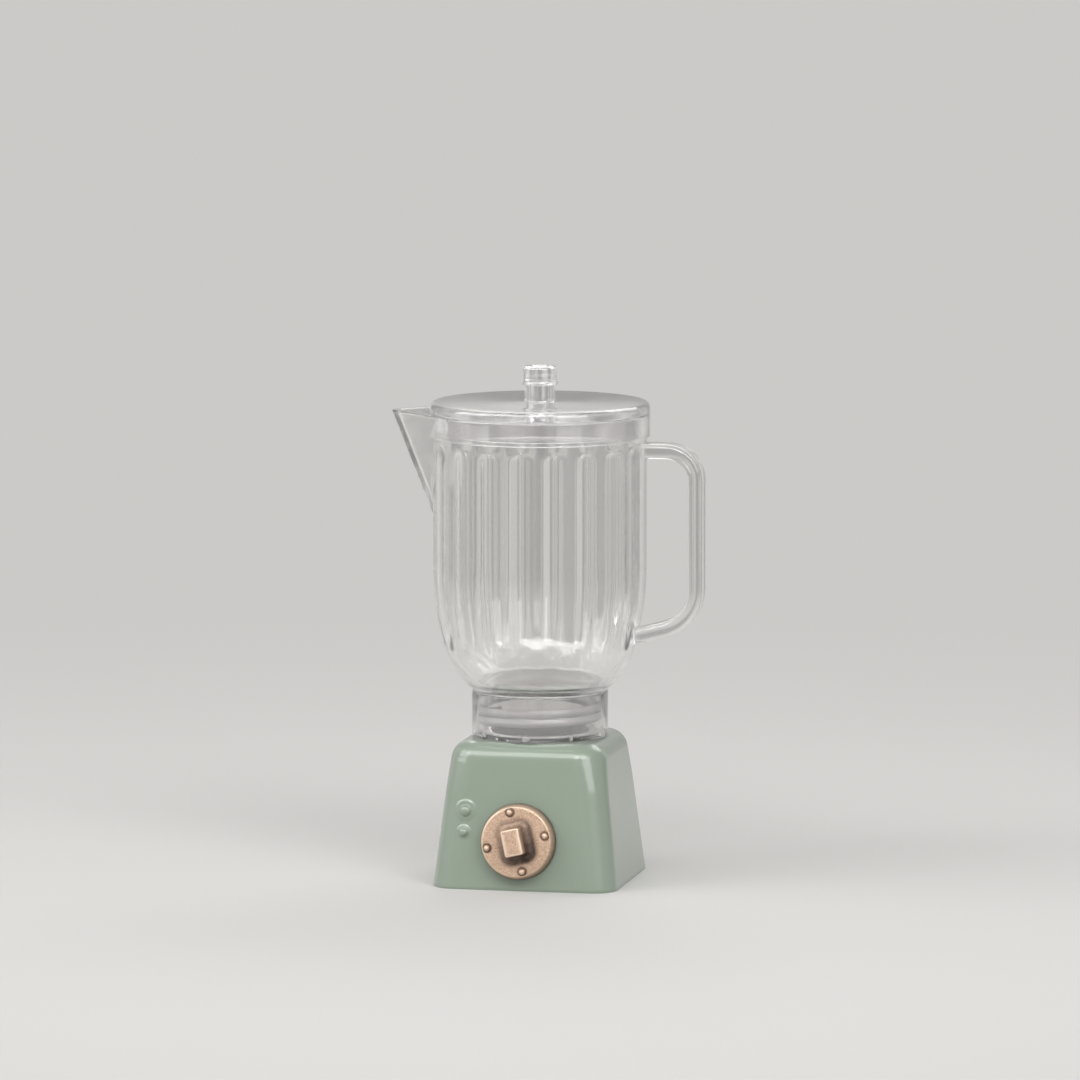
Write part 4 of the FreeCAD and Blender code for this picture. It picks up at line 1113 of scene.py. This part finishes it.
def dial_disc():
    """Turned disc and stem. Its face has a shallow dimple round each stud: its depth is a bell
    curve of the distance from the stud's centre. Its masks paint patina with painted shade beside
    the grip and in the dimples, painted shade on the side wall, and rubbed wear with a painted
    highlight on the face's edge, most on the upper left."""
    pilot, pilot_end = DIAL_PILOT
    back = rounded([(0, pilot_end, 0), (pilot, pilot_end, 0), (pilot, STEM_END, 0.05),
                    (DIAL_STEM, STEM_END, 0.1), (DIAL_STEM, DIAL_BACK, 0),
                    (DIAL_RADIUS, DIAL_BACK, 0.12), (DIAL_RADIUS, DIAL_BACK + 0.4, 0.3),
                    (DIAL_FACE_RADIUS, DIAL_FACE, 0.32), (4.7, DIAL_FACE, 0)], 7)
    face = steps_between((4.62, DIAL_FACE), (0, DIAL_FACE), 44)
    grid = turned(np.concatenate([back, face]), 200)
    x, y, out = grid[..., 0], grid[..., 1], grid[..., 2]
    far = np.hypot(x, y)
    front = out > DIAL_FACE - 0.02
    # patina with painted shade in the hollow beside the grip's flare
    round_grip = hill(np.maximum(beyond_grip(x, y) - GRIP_FLARE, 0), 0, WASH_AND_SHADE_FADE)
    wash_and_shade = np.where(front, round_grip, 0.0) * shade_share(x, y)
    for centre in stud_centres():
        away = np.hypot(x - centre[0], y - centre[1])
        # patina and painted shade in each dimple round a stud
        ring = np.where(front, hill(away, DIMPLE_RADIUS, DIMPLE_WIDTH), 0.0)
        out -= DIMPLE_DEPTH * ring
        wash_and_shade = np.maximum(wash_and_shade, 0.95 * ring)
    # painted shade down the disc's side wall
    side = np.clip((DIAL_FACE - 0.35 - out) / 0.8, 0, 1) * (far > 4.8)
    wash_and_shade = np.maximum(wash_and_shade, 0.9 * side)
    # rubbed wear with a painted highlight on the face's edge, brighter on the lit upper left
    wear_and_highlight = hill(far, DIAL_FACE_RADIUS - 0.05, RUB_AND_HIGHLIGHT_FADE) * (out > DIAL_FACE - 0.3)
    wear_and_highlight *= 0.55 - 0.45 * (0.9 * x - 0.4 * y) / np.maximum(far, TINY)
    return grid, wash_and_shade, wear_and_highlight


def dial_grip():
    """The rectangular grip: its outline moves in along a hollow flare, climbs the wall, rounds
    over the rim and closes over the top."""
    theta = np.radians(np.linspace(0, 90, 12))
    flare = np.stack([GRIP_FLARE * (1 - np.sin(theta)), GRIP_FLARE * (1 - np.cos(theta))], axis=1)
    rim = np.stack([GRIP_RIM * (np.cos(theta[::2]) - 1),
                    GRIP_HEIGHT - GRIP_RIM * (1 - np.sin(theta[::2]))], axis=1)
    wall = steps_between((0, 1.3), (0, GRIP_HEIGHT - GRIP_RIM - 0.1), 6)
    profile = np.concatenate([[(GRIP_FLARE + GRIP_ROOT, -GRIP_ROOT)], flare, wall, rim])
    rings = [np.column_stack([rounded_rectangle(*GRIP_HALF, GRIP_CORNER, offset, 10),
                              np.full(40, DIAL_FACE + height)]) for offset, height in profile]
    middle = np.array([0.0, 0.0, DIAL_FACE + GRIP_HEIGHT])
    rings += [middle + (rings[-1] - middle) * share for share in (0.92, 0.6, 0.25, 0.0)]
    rings.insert(0, np.tile([0.0, 0.0, DIAL_FACE - GRIP_ROOT], (40, 1)))
    grid = np.array(rings)
    x, y, height = grid[..., 0], grid[..., 1], grid[..., 2] - DIAL_FACE
    # patina with painted shade: darker low on the grip's flare and on its lower right side
    wash_and_shade = np.clip((2.1 - height) / 1.1, 0, 1) * shade_share(x, y)
    # rubbed wear with a painted highlight round the grip's top edge
    wear_and_highlight = hill(height, GRIP_HEIGHT, 0.22) * (np.abs(beyond_grip(x, y)) < 0.3)
    return grid, wash_and_shade, wear_and_highlight


def dial_studs():
    """Four round studs, each a dome on a short foot set into the face, painted darker towards
    the foot as painted shade and bright on top as a painted highlight.
    """
    for centre in stud_centres():
        outline = np.concatenate([[(0, STUD_FOOT), (STUD_RADIUS, STUD_FOOT)],
                                  arc((0, -0.02), STUD_RADIUS, 0, 90, 9)])
        grid = turned(outline, 28) + np.array([centre[0], centre[1], DIAL_FACE])
        height = grid[..., 2] - DIAL_FACE
        # painted shade low on each stud, painted highlight on its top
        yield grid, np.clip(1.0 - height / 0.36, 0, 0.9), np.clip((height - 0.4) / 0.1, 0, 1)


def in_point_order(values):
    """A grid's values in the order of the points of its shell that is closed on the axis."""
    return np.concatenate([values[1:-1].ravel(), values[0, :1], values[-1, :1]])


def build_dial():
    """Disc, grip and studs, closed shells in one mesh that turns with the joint."""
    grids, wash_and_shade, wear_and_highlight = zip(dial_disc(), dial_grip(), *dial_studs())
    points, faces = joined(closed_on_axis(grid) for grid in grids)
    # patina with painted shade, and rubbed wear with a painted highlight, one number per point
    masks = {"patina_and_shade": np.concatenate([in_point_order(values) for values in wash_and_shade]),
             "wear_and_highlight": np.concatenate([in_point_order(values) for values in wear_and_highlight])}
    dial = make_piece("dial_knob", (on_dial(points), faces), "dial", copper_paint,
                      sharp=40, masks=masks)
    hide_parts("dial")


build_dial()


# ---- CAD nodes that stay ----
def dress(node, material):
    """Gives a CAD node that stays a better material."""
    materials = frame["nodes"][node].data.materials
    materials.clear()
    materials.append(material)


zinc = gloss_paint("zinc_steel", (0.5, 0.5, 0.5), (0.42, 0.42, 0.43), 0.37)
base_plastic = gloss_paint("base_plate_plastic", (0.31, 0.36, 0.29), (0.28, 0.33, 0.26), 0.5)
dress("base_plate", base_plastic)
for small_part in ("base_plate_screws", "dial_spring_washer", "dial_washer", "dial_screw"):
    dress(small_part, zinc)


# ---- Floor, light and camera, in metres ----
BACKDROP = (0.60, 0.59, 0.575)
SKY = (0.26, 0.26, 0.26)
FLOOR_REACH = 12.0
# distance from the object's foot at which the floor starts to fade, and is all backdrop
FLOOR_FADE = (0.08, 0.36)
LAMP_AIM = 0.04
CAMERA_AIM = 0.0496
# azimuth and elevation in degrees
CAMERA_SIDE = (12.0, 7.0)
CAMERA_DISTANCE = 1.31
# name, azimuth, elevation, distance, width, height and power of the area lights
SOFTBOXES = (("key_light", -24, 46, 1.2, 1.38, 0.5, 7.6),
             ("fill_light", 27, 43, 0.9, 0.66, 0.36, 2.5),
             ("right_box", 47, 26, 0.9, 0.5, 0.5, 2.2),
             ("left_box", -70, 27, 0.9, 0.62, 0.5, 2.5),
             ("back_box", 170, 42, 1.2, 1.3, 0.6, 5.0))


def backdrop_tone(tree, direction):
    """The backdrop's colour: plain for the camera, in soft panels for gloss and clear plastic."""
    path = new_node(tree, "ShaderNodeLightPath").outputs
    shade = mixed(tree, path["Is Camera Ray"], use_group(tree, ROOM, direction)["Factor"], 1.0,
                  "FLOAT")
    return new_node(tree, "ShaderNodeVectorMath", {0: BACKDROP, "Scale": shade},
                    operation="SCALE").outputs["Vector"]


def seen_by_eye(tree):
    """Output that is 1 for rays that show the surroundings: camera, gloss and clear plastic."""
    path = new_node(tree, "ShaderNodeLightPath").outputs
    either = worked_out(tree, "MAXIMUM", path["Is Camera Ray"], path["Is Transmission Ray"])
    return worked_out(tree, "MAXIMUM", either, path["Is Glossy Ray"])


def build_floor():
    """Flat pale floor. Away from the object it fades into the backdrop's even tone."""
    mesh = bpy.data.meshes.new("studio_floor")
    square = ((-1, -1), (1, -1), (1, 1), (-1, 1))
    corners = [(x * FLOOR_REACH, y * FLOOR_REACH, 0) for x, y in square]
    mesh.from_pydata(corners, [], [(0, 1, 2, 3)])
    material, tree, shader = new_material("studio_floor", Base_Color=(*BACKDROP, 1.0),
                                          Roughness=0.85, Specular_IOR_Level=0.2)
    place = place_on(tree)
    glow = new_node(tree, "ShaderNodeEmission",
                    {"Color": backdrop_tone(tree, place), "Strength": 1.0})
    away = new_node(tree, "ShaderNodeVectorMath", {0: place}, operation="LENGTH")
    far = new_node(tree, "ShaderNodeMapRange",
                   {"Value": away.outputs["Value"], "From Min": FLOOR_FADE[0],
                    "From Max": FLOOR_FADE[1]}, interpolation_type="SMOOTHSTEP")
    share = worked_out(tree, "MULTIPLY", far.outputs["Result"], seen_by_eye(tree))
    mix = new_node(tree, "ShaderNodeMixShader", {"Fac": share, 1: shader.outputs["BSDF"],
                                                 2: glow.outputs["Emission"]})
    feed(tree, tree.nodes["Material Output"], Surface=mix.outputs["Shader"])
    mesh.materials.append(material)
    floor = placed("studio_floor", mesh)


def build_world():
    """Plain sky light; what the camera, gloss and clear plastic see of it is the backdrop."""
    world = bpy.data.worlds.new("studio")
    bpy.context.scene.world = world
    world.use_nodes = True
    tree = world.node_tree
    feed(tree, tree.nodes["Background"],
         Color=mixed(tree, seen_by_eye(tree), (*SKY, 1.0),
                     backdrop_tone(tree, place_on(tree, "Generated"))))


def look_at_axis(thing, azimuth, elevation, distance, aim):
    """Places a lamp or camera so that it looks at the object's axis at the height `aim`. Azimuth
    0 is -Y and 90 is +X."""
    a, e = math.radians(azimuth), math.radians(elevation)
    direction = Vector((math.sin(a) * math.cos(e), -math.cos(a) * math.cos(e), math.sin(e)))
    thing.location = Vector((0, 0, aim)) + direction * distance
    thing.rotation_euler = direction.to_track_quat("Z", "Y").to_euler()


def softbox(name, azimuth, elevation, distance, width, height, power):
    """Area light that gloss shows and the camera doesn't see."""
    lamp = bpy.data.lights.new(name, "AREA")
    lamp.shape = "RECTANGLE"
    lamp.size = width
    lamp.size_y = height
    lamp.energy = power
    holder = placed(name, lamp)
    look_at_axis(holder, azimuth, elevation, distance, LAMP_AIM)
    holder.visible_camera = False


def build_camera():
    """Long lens, a little to the dial's right and a little above."""
    camera = bpy.data.cameras.new("camera")
    camera.lens = 300
    camera.sensor_width = 36
    camera.clip_start = 0.05
    holder = placed("camera", camera)
    look_at_axis(holder, *CAMERA_SIDE, CAMERA_DISTANCE, CAMERA_AIM)
    bpy.context.scene.camera = holder


build_floor()
build_world()
for row in SOFTBOXES:
    softbox(*row)
build_camera()
# light runs far along the inside of clear walls
bpy.context.scene.cycles.max_bounces = 32
bpy.context.scene.cycles.glossy_bounces = 24
bpy.context.scene.cycles.transmission_bounces = 24
bpy.context.scene.view_settings.view_transform = "Standard"
